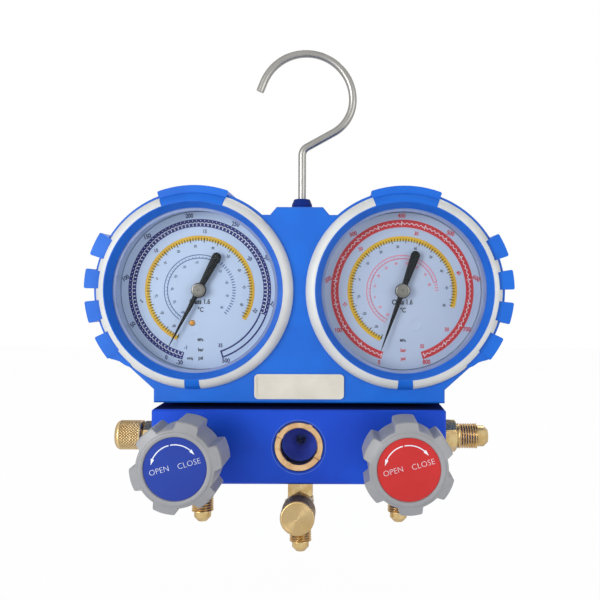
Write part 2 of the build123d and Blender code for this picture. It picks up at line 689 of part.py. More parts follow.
def gauge_socket():
    """Brass stem from the block's port to the holder of the tube, in the gauge's plane."""
    bottom = BLOCK_TOP - GAUGE_UP
    neck_top = socket_block_low() - bottom
    axis = Plane(origin=(0, bottom, -SPLIT_BACK), x_dir=(1, 0, 0), z_dir=(0, 1, 0))
    stem = rod(BLOCK_THREAD_R - THREAD_FIT, -SPIGOT_LEN, 0)
    stem += hexagon(SOCKET_HEX, 0, SOCKET_HEX_LEN)
    stem += rod(SOCKET_NECK_R, SOCKET_HEX_LEN, neck_top)
    bore = rod(SOCKET_BORE_R, -SPIGOT_LEN - OVER, neck_top + SOCKET_BORE_R)
    return axis * stem + socket_block() - axis * bore


def bourdon_tube():
    """Flattened C-shaped tube from the socket clockwise round to its tip, in the gauge's plane.

    Its tip is closed and carries a lug that reaches inwards over the end of the link.
    """
    outer = Rectangle(TUBE_THICK, TUBE_WIDE)
    outer = fillet(outer.vertices(), (TUBE_THICK - TUBE_FLAT) / 2)
    inner = Rectangle(TUBE_THICK - 2 * TUBE_WALL, TUBE_WIDE - 2 * TUBE_WALL)
    inner = fillet(inner.vertices(), (TUBE_THICK - TUBE_FLAT) / 2 - TUBE_WALL)
    ring = Plane.XZ * Pos(TUBE_MEAN_R, 0)
    start = 270 - degrees(asin(SOCKET_BLOCK_W / 2 / TUBE_MEAN_R))
    tip_angle = start - TUBE_ARC
    tube = Rot(0, 0, tip_angle) * revolve(ring * (outer - inner), Axis.Z, TUBE_ARC + TUBE_LAP)
    tip_arc = degrees(TUBE_TIP_LEN / TUBE_MEAN_R)
    tip = Rot(0, 0, tip_angle - tip_arc) * revolve(ring * outer, Axis.Z, tip_arc)
    lug_len = TUBE_MEAN_R - TUBE_LUG_IN_R
    low = LINK_GAP - SECTOR_FACE / 2
    lug = Pos(TUBE_MEAN_R - lug_len / 2, 0, low + TUBE_LUG_T / 2) * Box(lug_len, TUBE_LUG_W, TUBE_LUG_T)
    tip += Rot(0, 0, tip_angle - tip_arc / 2) * lug
    return Pos(0, 0, MOVEMENT_MID) * (tube + tip) - socket_block()


# ---- Movement ----------------------------------------------------------------------------------
def involute(angle):
    return tan(angle) - angle


def gear_teeth(teeth, count, addendum, dedendum, base_in_r):
    """Flat toothed rim about the origin, with count teeth centred on local +Y.

    Each flank is an arc through three points of the involute. Its half angle at radius r is the
    half thickness at the pitch circle plus the involute function there, less the one at r.
    """
    pitch_r = GEAR_MODULE * teeth / 2
    base_r = pitch_r * cos(radians(PRESSURE_ANGLE))
    tip_r = pitch_r + addendum * GEAR_MODULE
    root_r = pitch_r - dedendum * GEAR_MODULE
    half = (pi * GEAR_MODULE / 2 - TOOTH_THIN) / 2 / pitch_r

    def half_angle(r):
        at = 0.0 if r < base_r else asin(sqrt(1 - (base_r / r) ** 2))
        return half + involute(radians(PRESSURE_ANGLE)) - involute(at)

    mid_r = (max(base_r, root_r) + tip_r) / 2
    full = count == teeth
    edges = []
    first = None
    for index in range(count):
        centre = pi / 2 + (index - (count - 1) / 2) * 2 * pi / teeth
        points = []
        for sign in (-1, 1):
            radii = (root_r, mid_r, tip_r) if sign < 0 else (tip_r, mid_r, root_r)
            for r in radii:
                points.append(polar(r, degrees(centre + sign * half_angle(r))))
        if first is None:
            first = points[0]
        else:
            middle = polar(root_r, degrees(centre - pi / teeth))
            edges.append(ThreePointArc(last, middle, points[0]))
        edges.append(ThreePointArc(points[0], points[1], points[2]))
        edges.append(ThreePointArc(points[2], polar(tip_r, degrees(centre)), points[3]))
        edges.append(ThreePointArc(points[3], points[4], points[5]))
        last = points[5]
    if full:
        middle = polar(root_r, degrees(centre + pi / teeth))
        edges.append(ThreePointArc(last, middle, first))
        return make_face(edges)
    span = (count / 2 + SECTOR_END) * 360 / teeth
    ends = [polar(root_r, 90 - span), polar(root_r, 90 + span)]
    inner = [polar(base_in_r, 90 - span), polar(base_in_r, 90), polar(base_in_r, 90 + span)]
    side = degrees(atan2(first[1], first[0]))
    edges.append(ThreePointArc(ends[0], polar(root_r, (90 - span + side) / 2), first))
    side = degrees(atan2(last[1], last[0]))
    edges.append(ThreePointArc(last, polar(root_r, (90 + span + side) / 2), ends[1]))
    edges.append(Line(ends[1], inner[2]))
    edges.append(ThreePointArc(inner[2], inner[1], inner[0]))
    edges.append(Line(inner[0], ends[0]))
    return make_face(edges)


def movement_frame():
    """Two brass plates on the socket's block, with pillars and bearing holes."""
    low = -SOCKET_BLOCK_TOP - PLATE_LAP
    height = PLATE_TOP - low
    plate = Pos(0, (PLATE_TOP + low) / 2) * Rectangle(PLATE_W, height)
    plate = fillet(plate.vertices(), PLATE_CORNER_R)
    plate -= Circle(ARBOR_R + SLIDING_FIT)
    plate -= Pos(0, -GEAR_CENTRES) * Circle(ARBOR_R + SLIDING_FIT)
    plate = extrude(plate, PLATE_T)
    frame = Pos(0, 0, PLATE_FRONT - PLATE_T) * plate + Pos(0, 0, BACK_PLATE_FRONT - PLATE_T) * plate
    for x in (-PILLAR_X, PILLAR_X):
        frame += Pos(x, PILLAR_Z, 0) * rod(PILLAR_R, BACK_PLATE_FRONT, PLATE_FRONT - PLATE_T)
    return frame


def pinion_phase():
    """Degrees that set a gap of the pinion over the sector's tooth, or a tooth over its gap."""
    return 0.0 if SECTOR_CUT_TEETH % 2 else 180 / PINION_TEETH


def pinion_arbor():
    """Steel arbor with its pinion cut in, from the back plate through the dial to the pointer."""
    teeth = gear_teeth(PINION_TEETH, PINION_TEETH, PINION_ADDENDUM, PINION_DEDENDUM, 0)
    pinion = Pos(0, 0, MOVEMENT_MID - PINION_FACE / 2) * extrude(teeth, PINION_FACE)
    arbor = rod(ARBOR_R, BACK_PLATE_FRONT - PLATE_T, POINTER_FORWARD + POINTER_T)
    return Rot(0, 0, pinion_phase()) * pinion + arbor


def sector_turn():
    """Degrees from the sector's middle to its place with no pressure, a whole number of teeth."""
    return -SECTOR_REST_TEETH * 360 / SECTOR_TEETH


def sector_gear():
    """Toothed sector on its own shaft, with an arm to the rim and a tail for the link."""
    rim_in = SECTOR_R - SECTOR_RIM_W
    teeth = gear_teeth(SECTOR_TEETH, SECTOR_CUT_TEETH, SECTOR_ADDENDUM, SECTOR_DEDENDUM, rim_in)
    arm = Pos(0, (rim_in + SECTOR_ARM_LAP) / 2) * Rectangle(SECTOR_ARM_W, rim_in + SECTOR_ARM_LAP)
    end = polar(SECTOR_TAIL, TAIL_REST_ANGLE)
    tail = Rot(0, 0, TAIL_REST_ANGLE) * Pos(SECTOR_TAIL / 2, 0) * Rectangle(SECTOR_TAIL, SECTOR_ARM_W)
    tail += Pos(*end) * Circle(SECTOR_ARM_W / 2)
    flat = Rot(0, 0, sector_turn()) * (teeth + arm) + Circle(SECTOR_HUB_R) + tail
    flat -= Pos(*end) * Circle(LINK_PIN_R + SLIDING_FIT)
    low = MOVEMENT_MID - SECTOR_FACE / 2
    body = Pos(0, 0, low) * extrude(flat, SECTOR_FACE)
    return body + rod(ARBOR_R, BACK_PLATE_FRONT - PLATE_T, PLATE_FRONT)


def sector_link():
    """Flat link pinned to the sector's tail; its far end lies behind the lug of the tube."""
    end = polar(LINK_LEN, LINK_ANGLE)
    bar = Rot(0, 0, LINK_ANGLE) * Pos(LINK_LEN / 2, 0) * Rectangle(LINK_LEN, LINK_W)
    bar += Circle(LINK_W / 2) + Pos(*end) * Circle(LINK_W / 2)
    top = MOVEMENT_MID - SECTOR_FACE / 2 - LINK_GAP
    link = Pos(0, 0, top - LINK_T) * extrude(bar, LINK_T)
    return link + rod(LINK_PIN_R, top, top + SECTOR_FACE + LINK_GAP)


def pointer(zero):
    """Needle with a broad rounded tail and a domed hub, at its zero angle in degrees."""
    tip, taper, root = POINTER_LEN, POINTER_LEN - POINTER_POINT_LEN, POINTER_HUB_R - POINTER_T
    needle = make_face(Polyline(
        (root, -POINTER_ROOT_W / 2), (taper, -POINTER_TIP_W / 2), (tip, -POINTER_POINT_W / 2),
        (tip, POINTER_POINT_W / 2), (taper, POINTER_TIP_W / 2), (root, POINTER_ROOT_W / 2), close=True))
    end = -(POINTER_TAIL_LEN - POINTER_TAIL_W / 2)
    tail = make_face(Polyline(
        (0, -POINTER_ROOT_W / 2), (0, POINTER_ROOT_W / 2),
        (end, POINTER_TAIL_W / 2), (end, -POINTER_TAIL_W / 2), close=True))
    flat = needle + tail + Pos(end, 0) * Circle(POINTER_TAIL_W / 2) + Circle(POINTER_HUB_R)
    body = Pos(0, 0, POINTER_FORWARD) * extrude(flat, POINTER_T)
    crown = rod(POINTER_CAP_R, POINTER_FORWARD + POINTER_T, POINTER_FORWARD + POINTER_T + POINTER_CAP_T)
    body += chamfer(crown.edges().group_by(Axis.Z)[-1], POINTER_CAP_EDGE)
    body -= rod(ARBOR_R, 0, POINTER_FORWARD + POINTER_T)
    return Rot(0, 0, zero) * body


# ---- Housing -----------------------------------------------------------------------------------
def crest_outline(inset):
    """Raised middle of the housing's top, where the hook comes out."""
    top, foot = CREST_HALF_W - inset, CREST_FOOT_HALF_W - inset
    points = [
        (-foot, GAUGE_UP), (-foot, CREST_FOOT_Z - inset), (-top, CREST_TOP_Z - inset),
        (top, CREST_TOP_Z - inset), (foot, CREST_FOOT_Z - inset), (foot, GAUGE_UP),
    ]
    return make_face(Polyline(*points, close=True))


def base_outline(inset):
    """Foot of the housing: a bar above the block whose ends slope up to the gauge rings."""
    ring = SHELL_R - inset
    x, z = polar(ring, BASE_TANGENT)
    leave = (-GAUGE_X + x, GAUGE_UP + z)
    half, corner, low = BASE_HALF_W - inset, BASE_CORNER_Z + inset / 2, BASE_Z + inset
    return make_face(Polyline(
        (0, GAUGE_UP), (-GAUGE_X, GAUGE_UP), leave, (-half, corner), (-half, low),
        (half, low), (half, corner), (-leave[0], leave[1]), (GAUGE_X, GAUGE_UP), close=True))


def valley_outline(inset):
    """Filling between the crest and the gauge rings."""
    ring = SHELL_R - inset
    z = GAUGE_UP + sqrt(ring**2 - (GAUGE_X - VALLEY_X) ** 2)
    return make_face(Polyline(
        (-VALLEY_X, GAUGE_UP), (-VALLEY_X, z), (VALLEY_X, z), (VALLEY_X, GAUGE_UP), close=True))


def shell_outline(inset=0.0):
    """Housing seen from the front, without its lugs, drawn in X and Z."""
    outline = base_outline(inset) + crest_outline(inset) + valley_outline(inset)
    for side in SIDES:
        outline += Pos(side * GAUGE_X, GAUGE_UP) * Circle(SHELL_R - inset)
    return outline


def forward_slab(outline, low, high):
    """Outline in X and Z pushed from one forward distance to another."""
    return facing_front(0, 0, low) * extrude(outline, high - low)


def lug_face(side, inner):
    """Grip lugs of one gauge, in its own plane."""
    faces = None
    for start, end in LUGS:
        a, b = mirrored_angle(side, start, end)
        lug = fillet(sector_face(inner, LUG_R, a, b).vertices(), LUG_CORNER)
        faces = lug if faces is None else faces + lug
    a, b = mirrored_angle(side, *TOP_LUG)
    return faces + fillet(sector_face(inner, TOP_LUG_R, a, b).vertices(), LUG_CORNER)


def gauge_ring():
    """Raised ring round a gauge: a cone down to the opening and a seat for the trim outside."""
    return turned(
        (OPENING_R, OPENING_FORWARD), (RING_R - RING_CREST_W, RING_FORWARD), (RING_R, RING_FORWARD),
        (RING_R, SHELL_FRONT - SHELL_WALL / 2), (OPENING_R, SHELL_FRONT - SHELL_WALL / 2),
    )


def trim_profile(outer, drop):
    """Quarter-round outline from the ring's crest out to the panel."""
    low, crest = SHELL_FRONT - drop, RING_FORWARD - TRIM_DROP
    across, up = TRIM_BULGE
    bulge = (RING_R + (outer - RING_R) * across, TRIM_FORWARD + (RING_FORWARD - TRIM_FORWARD) * up)
    return make_face([
        Line((RING_R, low), (outer, low)),
        Line((outer, low), (outer, TRIM_FORWARD)),
        ThreePointArc((outer, TRIM_FORWARD), bulge, (RING_R, crest)),
        Line((RING_R, crest), (RING_R, low)),
    ])


def trim_gaps(side):
    """Angles where blue stands through the trim: the top lug and the bottom bridge."""
    return [mirrored_angle(side, *TOP_LUG), mirrored_angle(side, *BRIDGE)]


def trim_ring(side):
    """Pale inlay round one gauge, cut where the lugs and the bridge come through."""
    ring = revolve(Plane.XZ * trim_profile(TRIM_R, TRIM_SUNK), Axis.Z)
    for a, b in trim_gaps(side):
        ring -= extrude(sector_face(RING_R - OVER, TRIM_R + OVER, a, b), RING_FORWARD)
    for start, end in LUGS:
        a, b = mirrored_angle(side, start, end)
        ring -= extrude(sector_face(LUG_INNER_R - SEAT_GAP, TRIM_R + OVER, a, b), RING_FORWARD)
    return gauge_plane(side) * ring


def trim_bridges(side):
    """Blue fillings that carry the ring's slope through the gaps of the trim."""
    bridges = None
    solid = revolve(Plane.XZ * trim_profile(TRIM_R, TRIM_SUNK), Axis.Z)
    for a, b in trim_gaps(side):
        face = sector_face(RING_R - OVER, TRIM_R + OVER, a + BRIDGE_INSET, b - BRIDGE_INSET)
        piece = extrude(face, RING_FORWARD) & solid
        bridges = piece if bridges is None else bridges + piece
    return bridges


def shell_holes():
    """Hollows that both shells share: gauge collars, socket slots and the hook's hole."""
    holes = []
    for side in SIDES:
        plane = gauge_plane(side)
        holes.append(plane * rod(COLLAR_IN_R, -SHELL_BACK + SHELL_WALL, BEZEL_FRONT + SEAT_GAP))
        pocket = rod(SOCKET_POCKET_R, BASE_Z - OVER, GAUGE_UP - CASE_IN_R)
        holes.append(Pos(side * GAUGE_X, SPLIT_BACK, 0) * pocket)
    well = rod(BUSH_R + POCKET_FIT, HOOK_TAIL_Z - HOOK_WELL, CREST_TOP_Z - SHELL_WALL)
    well += rod(BUSH_NECK_R + SEAT_GAP, HOOK_TAIL_Z, CREST_TOP_Z + OVER)
    holes.append(Pos(0, SPLIT_BACK, 0) * well)
    return holes


def screw_places():
    """Shell screws, in X and Z."""
    low, high = BASE_Z + BOSS_R + SHELL_WALL - BOSS_LAP, CREST_FOOT_Z - BOSS_R - SHELL_WALL
    inner = VALLEY_X * BOSS_SHARE
    return [(-OUTER_SCREW_X, low), (OUTER_SCREW_X, low), (-inner, high), (inner, high), (0, low)]


def ribs(low, high):
    """Thin webs between each gauge collar and the outer wall."""
    webs = None
    for side in SIDES:
        for index in range(RIB_COUNT):
            angle = (index + 0.5) * 360 / RIB_COUNT
            web = Rot(0, 0, angle) * Pos((COLLAR_IN_R + SHELL_R) / 2, 0) * Rectangle(
                SHELL_R - COLLAR_IN_R, RIB_T)
            web = Pos(side * GAUGE_X, GAUGE_UP) * web
            webs = web if webs is None else webs + web
    return forward_slab(webs, low, high)


def hollow_of_shell(low, high):
    """Space inside the walls, less the collars and the screw bosses."""
    hollow = shell_outline(SHELL_WALL)
    for side in SIDES:
        hollow -= Pos(side * GAUGE_X, GAUGE_UP) * Circle(COLLAR_IN_R + COLLAR_WALL)
    for x, z in screw_places():
        hollow -= Pos(x, z) * Circle(BOSS_R)
    return forward_slab(hollow, low, high)


def front_shell():
    """Front half of the moulded housing, with rings, lugs and bridges."""
    split = -SPLIT_BACK
    shell = forward_slab(shell_outline(), split, SHELL_FRONT)
    shell = chamfer(shell.faces().sort_by(Axis.Y)[0].outer_wire().edges(), SHELL_CHAMFER)
    shell -= hollow_of_shell(split, SHELL_FRONT - SHELL_WALL) - ribs(split + RIB_CLEAR, SHELL_FRONT)
    for side in SIDES:
        plane = gauge_plane(side)
        shell += plane * (Pos(0, 0, split) * extrude(lug_face(side, LUG_INNER_R), LUG_FORWARD - split))
        shell += plane * gauge_ring()
        shell -= plane * (
            revolve(Plane.XZ * trim_profile(TRIM_R + SEAT_GAP, TRIM_SUNK + SEAT_GAP), Axis.Z)
            - extrude(lug_face(side, LUG_INNER_R), RING_FORWARD))
        shell += plane * trim_bridges(side)
        shell -= plane * rod(OPENING_R, 0, SHELL_FRONT + OVER)
    for hole in shell_holes():
        shell -= hole
    plate = Pos(0, PLATE_LABEL_UP) * RectangleRounded(
        PLATE_LABEL_W + 2 * SEAT_GAP, PLATE_LABEL_H + 2 * SEAT_GAP, PLATE_LABEL_R + SEAT_GAP)
    shell -= forward_slab(plate, SHELL_FRONT - PLATE_LABEL_SUNK, SHELL_FRONT + OVER)
    for x, z in screw_places():
        shell -= facing_front(x, z) * rod(BOSS_HOLE_R, split - OVER, split + SCREW_LEN - BOSS_HOLE_SHORT)
    return shell


def rear_shell():
    """Rear half of the moulded housing: a plain back with screw recesses."""
    split = -SPLIT_BACK - SEAT_GAP
    shell = forward_slab(shell_outline(), -SHELL_BACK, split)
    shell = chamfer(shell.faces().sort_by(Axis.Y)[-1].outer_wire().edges(), SHELL_CHAMFER)
    shell -= hollow_of_shell(-SHELL_BACK + SHELL_WALL, split + OVER) - ribs(-SHELL_BACK, split - RIB_CLEAR)
    for side in SIDES:
        lugs = Pos(0, 0, -SHELL_BACK + LUG_BACK) * extrude(
            lug_face(side, LUG_INNER_R), SHELL_BACK - LUG_BACK + split)
        shell += gauge_plane(side) * lugs
    for hole in shell_holes():
        shell -= hole
    for x, z in screw_places():
        plane = facing_front(x, z)
        shell -= plane * rod(SCREW_R + SCREW_ROOM, -SHELL_BACK - OVER, split + OVER)
        head = -SHELL_BACK + SCREW_HEAD_LEN + SCREW_SUNK
        shell -= plane * rod(SCREW_HEAD_R + SCREW_ROOM, -SHELL_BACK - OVER, head)
    return shell


def shell_screws():
    """Five pan-head screws from the back, as separate solids of one node."""
    seat = -SHELL_BACK + SCREW_HEAD_LEN + SCREW_SUNK
    screw = rod(SCREW_R, seat, seat + SCREW_LEN) + rod(SCREW_HEAD_R, seat - SCREW_HEAD_LEN, seat)
    for width, length in ((SCREW_CROSS_W, SCREW_CROSS_LEN), (SCREW_CROSS_LEN, SCREW_CROSS_W)):
        screw -= Pos(0, 0, seat - SCREW_HEAD_LEN) * Box(width, length, 2 * SLOT_DEPTH)
    return Compound(children=[facing_front(x, z) * screw for x, z in screw_places()])


def name_plate():
    """Blank pale plate with a raised frame, let into the panel under the gauges."""
    low = SHELL_FRONT - PLATE_LABEL_SUNK + SEAT_GAP
    plate = RectangleRounded(PLATE_LABEL_W, PLATE_LABEL_H, PLATE_LABEL_R)
    body = extrude(plate, PLATE_LABEL_T)
    inset = 2 * PLATE_LABEL_FRAME
    field = RectangleRounded(PLATE_LABEL_W - inset, PLATE_LABEL_H - inset, PLATE_LABEL_R / 2)
    body -= Pos(0, 0, PLATE_LABEL_T - PLATE_LABEL_FIELD) * extrude(field, OVER)
    return facing_front(0, PLATE_LABEL_UP, low) * body


# ---- Hook --------------------------------------------------------------------------------------
def hook_path():
    """Centre line of the rod in X and Z: stem, tight bend, rising run, two arcs and the tip.

    The lower arc is tangent to the run and to the loop at the loop's right-hand side, which gives
    its radius.
    """
    rise = radians(HOOK_RUN_RISE)
    right = HOOK_LOOP_X + HOOK_LOOP_R
    reach = (HOOK_LOOP_Z - HOOK_CORNER_Z) * cos(rise) - right * sin(rise)
    lower_r = reach / (1 - sin(rise))
    lower_x = right - lower_r
    bend = HOOK_BEND_R * tan((pi / 2 - rise) / 2)
    start = (0, HOOK_TAIL_Z)
    bend_in = (0, HOOK_CORNER_Z - bend)
    bend_out = (bend * cos(rise), HOOK_CORNER_Z + bend * sin(rise))
    run_out = (lower_x + lower_r * sin(rise), HOOK_LOOP_Z - lower_r * cos(rise))
    side = (right, HOOK_LOOP_Z)
    x, z = polar(HOOK_LOOP_R, HOOK_LOOP_END)
    loop_out = (HOOK_LOOP_X + x, HOOK_LOOP_Z + z)
    end = radians(HOOK_LOOP_END)
    tip = (loop_out[0] - HOOK_TIP_LEN * sin(end), loop_out[1] + HOOK_TIP_LEN * cos(end))
    x, z = polar(HOOK_LOOP_R, HOOK_LOOP_END / 2)
    loop_mid = (HOOK_LOOP_X + x, HOOK_LOOP_Z + z)
    x, z = polar(lower_r, (HOOK_RUN_RISE - 90) / 2)
    lower_mid = (lower_x + x, HOOK_LOOP_Z + z)
    return Wire([
        Line(start, bend_in),
        TangentArc(bend_in, bend_out, tangent=(0, 1)),
        Line(bend_out, run_out),
        ThreePointArc(run_out, lower_mid, side),
        ThreePointArc(side, loop_mid, loop_out),
        Line(loop_out, tip),
    ])


def hook():
    path = facing_front(0, 0, -SPLIT_BACK) * hook_path()
    section = Plane(origin=(0, SPLIT_BACK, HOOK_TAIL_Z), z_dir=(0, 0, 1)) * Circle(HOOK_ROD_R)
    rod_solid = sweep(section, path=path)
    groove = washer(HOOK_ROD_R + OVER, CLIP_GROOVE_R, 0, CLIP_T + SEAT_GAP)
    return rod_solid - Pos(0, SPLIT_BACK, HOOK_TAIL_Z + CLIP_UP) * groove


def hook_bushing():
    """Flanged bush held between the shells, with a rounded head above the housing."""
    low = CREST_TOP_Z - SHELL_WALL - BUSH_FLANGE_T - SEAT_GAP
    head = rod(BUSH_R, CREST_TOP_Z + SEAT_GAP, CREST_TOP_Z + BUSH_HIGH)
    head = fillet(head.edges().group_by(Axis.Z)[-1], BUSH_ROUND)
    body = head + rod(BUSH_NECK_R, low, CREST_TOP_Z + OVER) + rod(BUSH_R, low, low + BUSH_FLANGE_T)
    body -= rod(HOOK_ROD_R + SLIDING_FIT, low - OVER, CREST_TOP_Z + BUSH_HIGH + OVER)
    return Pos(0, SPLIT_BACK, 0) * body


def hook_clip():
    """Open retaining ring in the rod's groove, under the bush."""
    ring = Circle(CLIP_R) - Circle(CLIP_GROOVE_R + SEAT_GAP)
    ring -= Pos(0, -CLIP_R) * Rectangle(2 * CLIP_GROOVE_R, 2 * CLIP_R)
    return Pos(0, SPLIT_BACK, HOOK_TAIL_Z + CLIP_UP + SEAT_GAP / 2) * extrude(ring, CLIP_T)


# ---- Assembly ----------------------------------------------------------------------------------
def manifold_nodes():
    side_left, side_right = facing_side(-1, 0, SIDE_PORT_Z), facing_side(1, 0, SIDE_PORT_Z)
    tee_front = facing_front(0, -BLOCK_TOP - TEE_ARM_DROP, TEE_COLLAR_FRONT)
    cap_left = Plane(origin=side_left.from_local_coords((0, 0, HEX_LEN)), z_dir=side_left.z_dir)
    return {
        "manifold_block": manifold_block(),
        "sight_glass_ring": sight_glass_ring(),
        "sight_glass_lens": sight_glass_lens(),
        "sight_glass_seal": sight_glass_seal(),
        "side_fitting_low": side_left * fitting(FLARE_14_CAPPED, HEX_14),
        "side_fitting_high": side_right * fitting(FLARE_516, HEX_516),
        "charging_tee": charging_tee(),
        "tee_valve_core": tee_valve_core(),
        "side_cap": cap_left * cap(CAP_R, FLARE_14_CAPPED, 0),
        "side_cap_seal": cap_left * cap_seal(FLARE_14_CAPPED),
        "tee_cap": tee_front * cap(TEE_CAP_R, FLARE_14_CAPPED, TEE_CAP_R - CAP_R),
        "tee_cap_seal": tee_front * cap_seal(FLARE_14_CAPPED),
    }


def side_nodes(side):
    """Everything that the low and the high side both have."""
    name = NAMES[side]
    valve = facing_front(side * VALVE_X, 0)
    turned_valve = valve * Rot(0, 0, KNOB_TURN[side])
    gauge = gauge_plane(side)
    zero = POINTER_LOW_ZERO if side < 0 else POINTER_HIGH_ZERO
    pivot = gauge * Pos(0, -GEAR_CENTRES, 0)
    tail = polar(SECTOR_TAIL, TAIL_REST_ANGLE)
    return {
        f"{name}_hose_fitting": facing_down(side * VALVE_X, 0, -BLOCK_TOP) * fitting(FLARE_14, HEX_14),
        f"{name}_valve_bonnet": valve * valve_bonnet(),
        f"{name}_valve_piston": valve * valve_piston(),
        f"{name}_piston_seal": valve * piston_seal(),
        f"{name}_valve_stem": valve * valve_stem(),
        f"{name}_knob": turned_valve * knob(),
        f"{name}_knob_label": valve * knob_label(),
        f"{name}_knob_screw": valve * knob_screw(),
        f"{name}_gauge_case": gauge * gauge_case(),
        f"{name}_gauge_bezel": gauge * gauge_bezel(),
        f"{name}_gauge_lens": gauge * gauge_lens(),
        f"{name}_gauge_dial": gauge * gauge_dial(),
        f"{name}_gauge_socket": gauge * gauge_socket(),
        f"{name}_bourdon_tube": gauge * bourdon_tube(),
        f"{name}_movement_frame": gauge * movement_frame(),
        f"{name}_pinion_arbor": gauge * pinion_arbor(),
        f"{name}_sector_gear": pivot * sector_gear(),
        f"{name}_sector_link": pivot * Pos(*tail, 0) * sector_link(),
        f"{name}_pointer": gauge * pointer(zero),
        f"{name}_trim_ring": trim_ring(side),
    }


def housing_nodes():
    return {
        "front_shell": front_shell(),
        "rear_shell": rear_shell(),
        "shell_screws": shell_screws(),
        "name_plate": name_plate(),
        "hook": hook(),
        "hook_bushing": hook_bushing(),
        "hook_clip": hook_clip(),
    }


def main():
    os.makedirs("parts", exist_ok=True)
    nodes = manifold_nodes() | side_nodes(-1) | side_nodes(1) | housing_nodes()
    shift = Pos(*(-value for value in HANG_POINT))
    for name, solid in nodes.items():
        export_step(shift * solid, os.path.join("parts", name + ".step"))


main()
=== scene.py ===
"""Looks of the two-valve refrigerant manifold gauge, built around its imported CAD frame."""
from math import cos, pi, radians, sin

import bmesh
import bpy
import numpy as np
from bpy.props import FloatProperty, FloatVectorProperty, IntProperty
from mathutils import Matrix, Vector


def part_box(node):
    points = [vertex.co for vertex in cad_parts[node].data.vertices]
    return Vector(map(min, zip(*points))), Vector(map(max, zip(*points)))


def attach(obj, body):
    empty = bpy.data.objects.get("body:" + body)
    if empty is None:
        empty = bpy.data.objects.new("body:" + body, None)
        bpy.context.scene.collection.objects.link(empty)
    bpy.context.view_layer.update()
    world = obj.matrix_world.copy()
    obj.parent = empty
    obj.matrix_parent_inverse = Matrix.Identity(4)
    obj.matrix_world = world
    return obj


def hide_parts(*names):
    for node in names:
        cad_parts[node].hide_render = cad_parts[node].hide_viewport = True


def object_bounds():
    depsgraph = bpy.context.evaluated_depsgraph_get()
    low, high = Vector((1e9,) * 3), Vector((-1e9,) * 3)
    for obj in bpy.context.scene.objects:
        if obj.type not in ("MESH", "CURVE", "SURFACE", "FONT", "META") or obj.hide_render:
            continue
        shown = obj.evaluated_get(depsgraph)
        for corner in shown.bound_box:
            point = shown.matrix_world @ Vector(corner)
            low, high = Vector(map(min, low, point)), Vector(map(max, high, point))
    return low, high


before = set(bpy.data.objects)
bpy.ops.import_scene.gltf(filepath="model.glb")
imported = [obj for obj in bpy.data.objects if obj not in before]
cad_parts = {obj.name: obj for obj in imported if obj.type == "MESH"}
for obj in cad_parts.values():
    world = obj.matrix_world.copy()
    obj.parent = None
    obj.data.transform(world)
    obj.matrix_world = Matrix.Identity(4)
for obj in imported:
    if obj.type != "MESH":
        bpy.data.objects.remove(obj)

bl_info = {
    "name": "Refrigerant manifold gauge finishes",
    "version": (1, 0, 0),
    "blender": (4, 5, 0),
    "location": "View3D > Sidebar > Gauge",
    "description": "Prints, threads, knurls, hand wheels and materials of a manifold gauge set",
    "category": "Object",
}

MM = 0.001
SIDES = ("low", "high")
CAD_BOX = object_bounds()
SEAM = 1e-7             # metres within which the points of a pole are one
PRINT_LOW = 0.02        # mm, underside of the ink above its surface
PRINT_HIGH = 0.06       # mm, top of the ink
OVER = 0.05             # mm by which marks printed over a band stand above it
LEANING = (-30, 210)    # degrees between which a dial's numbers lean; below them they stand upright
LEAN = 0.4              # share of the way from upright to square to its radius that a number leans


# ---- Places read from the frame
def low_corner(node):
    return np.array(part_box(node)[0], dtype=float)


def high_corner(node):
    return np.array(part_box(node)[1], dtype=float)


def centre(node):
    return (low_corner(node) + high_corner(node)) / 2


def front_frame(node):
    """Matrix from a print's plane (x right, y up, z towards the front) to a node's front face."""
    middle = centre(node)
    place = Matrix.Translation((middle[0], low_corner(node)[1], middle[2]))
    return place @ Matrix.Rotation(radians(90), 4, "X")


def basis(origin, x_way, z_way):
    """Matrix of a frame from its origin and the ways of its x and z axes."""
    x_way, z_way = Vector(x_way), Vector(z_way)
    turn = Matrix((x_way, z_way.cross(x_way), z_way)).transposed().to_4x4()
    return Matrix.Translation(Vector(origin)) @ turn


def facing_front(x, y, z):
    """Frame at a point in metres whose z axis points to the front."""
    return basis((x, y, z), (1, 0, 0), (0, -1, 0))


# ---- Surfaces
def triangle(value):
    """Triangle wave of period one, nought at whole numbers and one half way between them."""
    return 1 - np.abs(2 * (value % 1.0) - 1)


def smooth(value):
    """Smooth step: three squares less two cubes of a value kept between nought and one."""
    value = np.clip(value, 0, 1)
    return value * value * (3 - 2 * value)


def add_object(name, data):
    """New object of the scene for a mesh, a lamp or a camera."""
    made = bpy.data.objects.new(name, data)
    bpy.context.scene.collection.objects.link(made)
    return made


def put_mesh(name, points, quads, place=None, sharp=35, groove=None, merge=True):
    """One mesh object from whole arrays, with its place in its mesh, smooth below an angle.

    With merge, points that coincide become one and the faces are turned outwards. groove is each point's depth in a
    thread or knurl, from nought to one, by which the materials paint shade in the grooves."""
    mesh = bpy.data.meshes.new(name)
    mesh.from_pydata(np.asarray(points, dtype=float), [], np.asarray(quads).tolist())
    if groove is not None:
        mesh.attributes.new("groove", "FLOAT", "POINT").data.foreach_set("value", groove.astype(float).reshape(-1))
    if place is not None:
        mesh.transform(place)
    if merge:
        work = bmesh.new()
        work.from_mesh(mesh)
        bmesh.ops.remove_doubles(work, verts=work.verts, dist=SEAM)
        bmesh.ops.dissolve_degenerate(work, edges=work.edges, dist=SEAM)
        bmesh.ops.recalc_face_normals(work, faces=work.faces)
        work.to_mesh(mesh)
        work.free()
    mesh.shade_smooth()
    mesh.set_sharp_from_angle(angle=radians(sharp))
    return add_object(name, mesh)


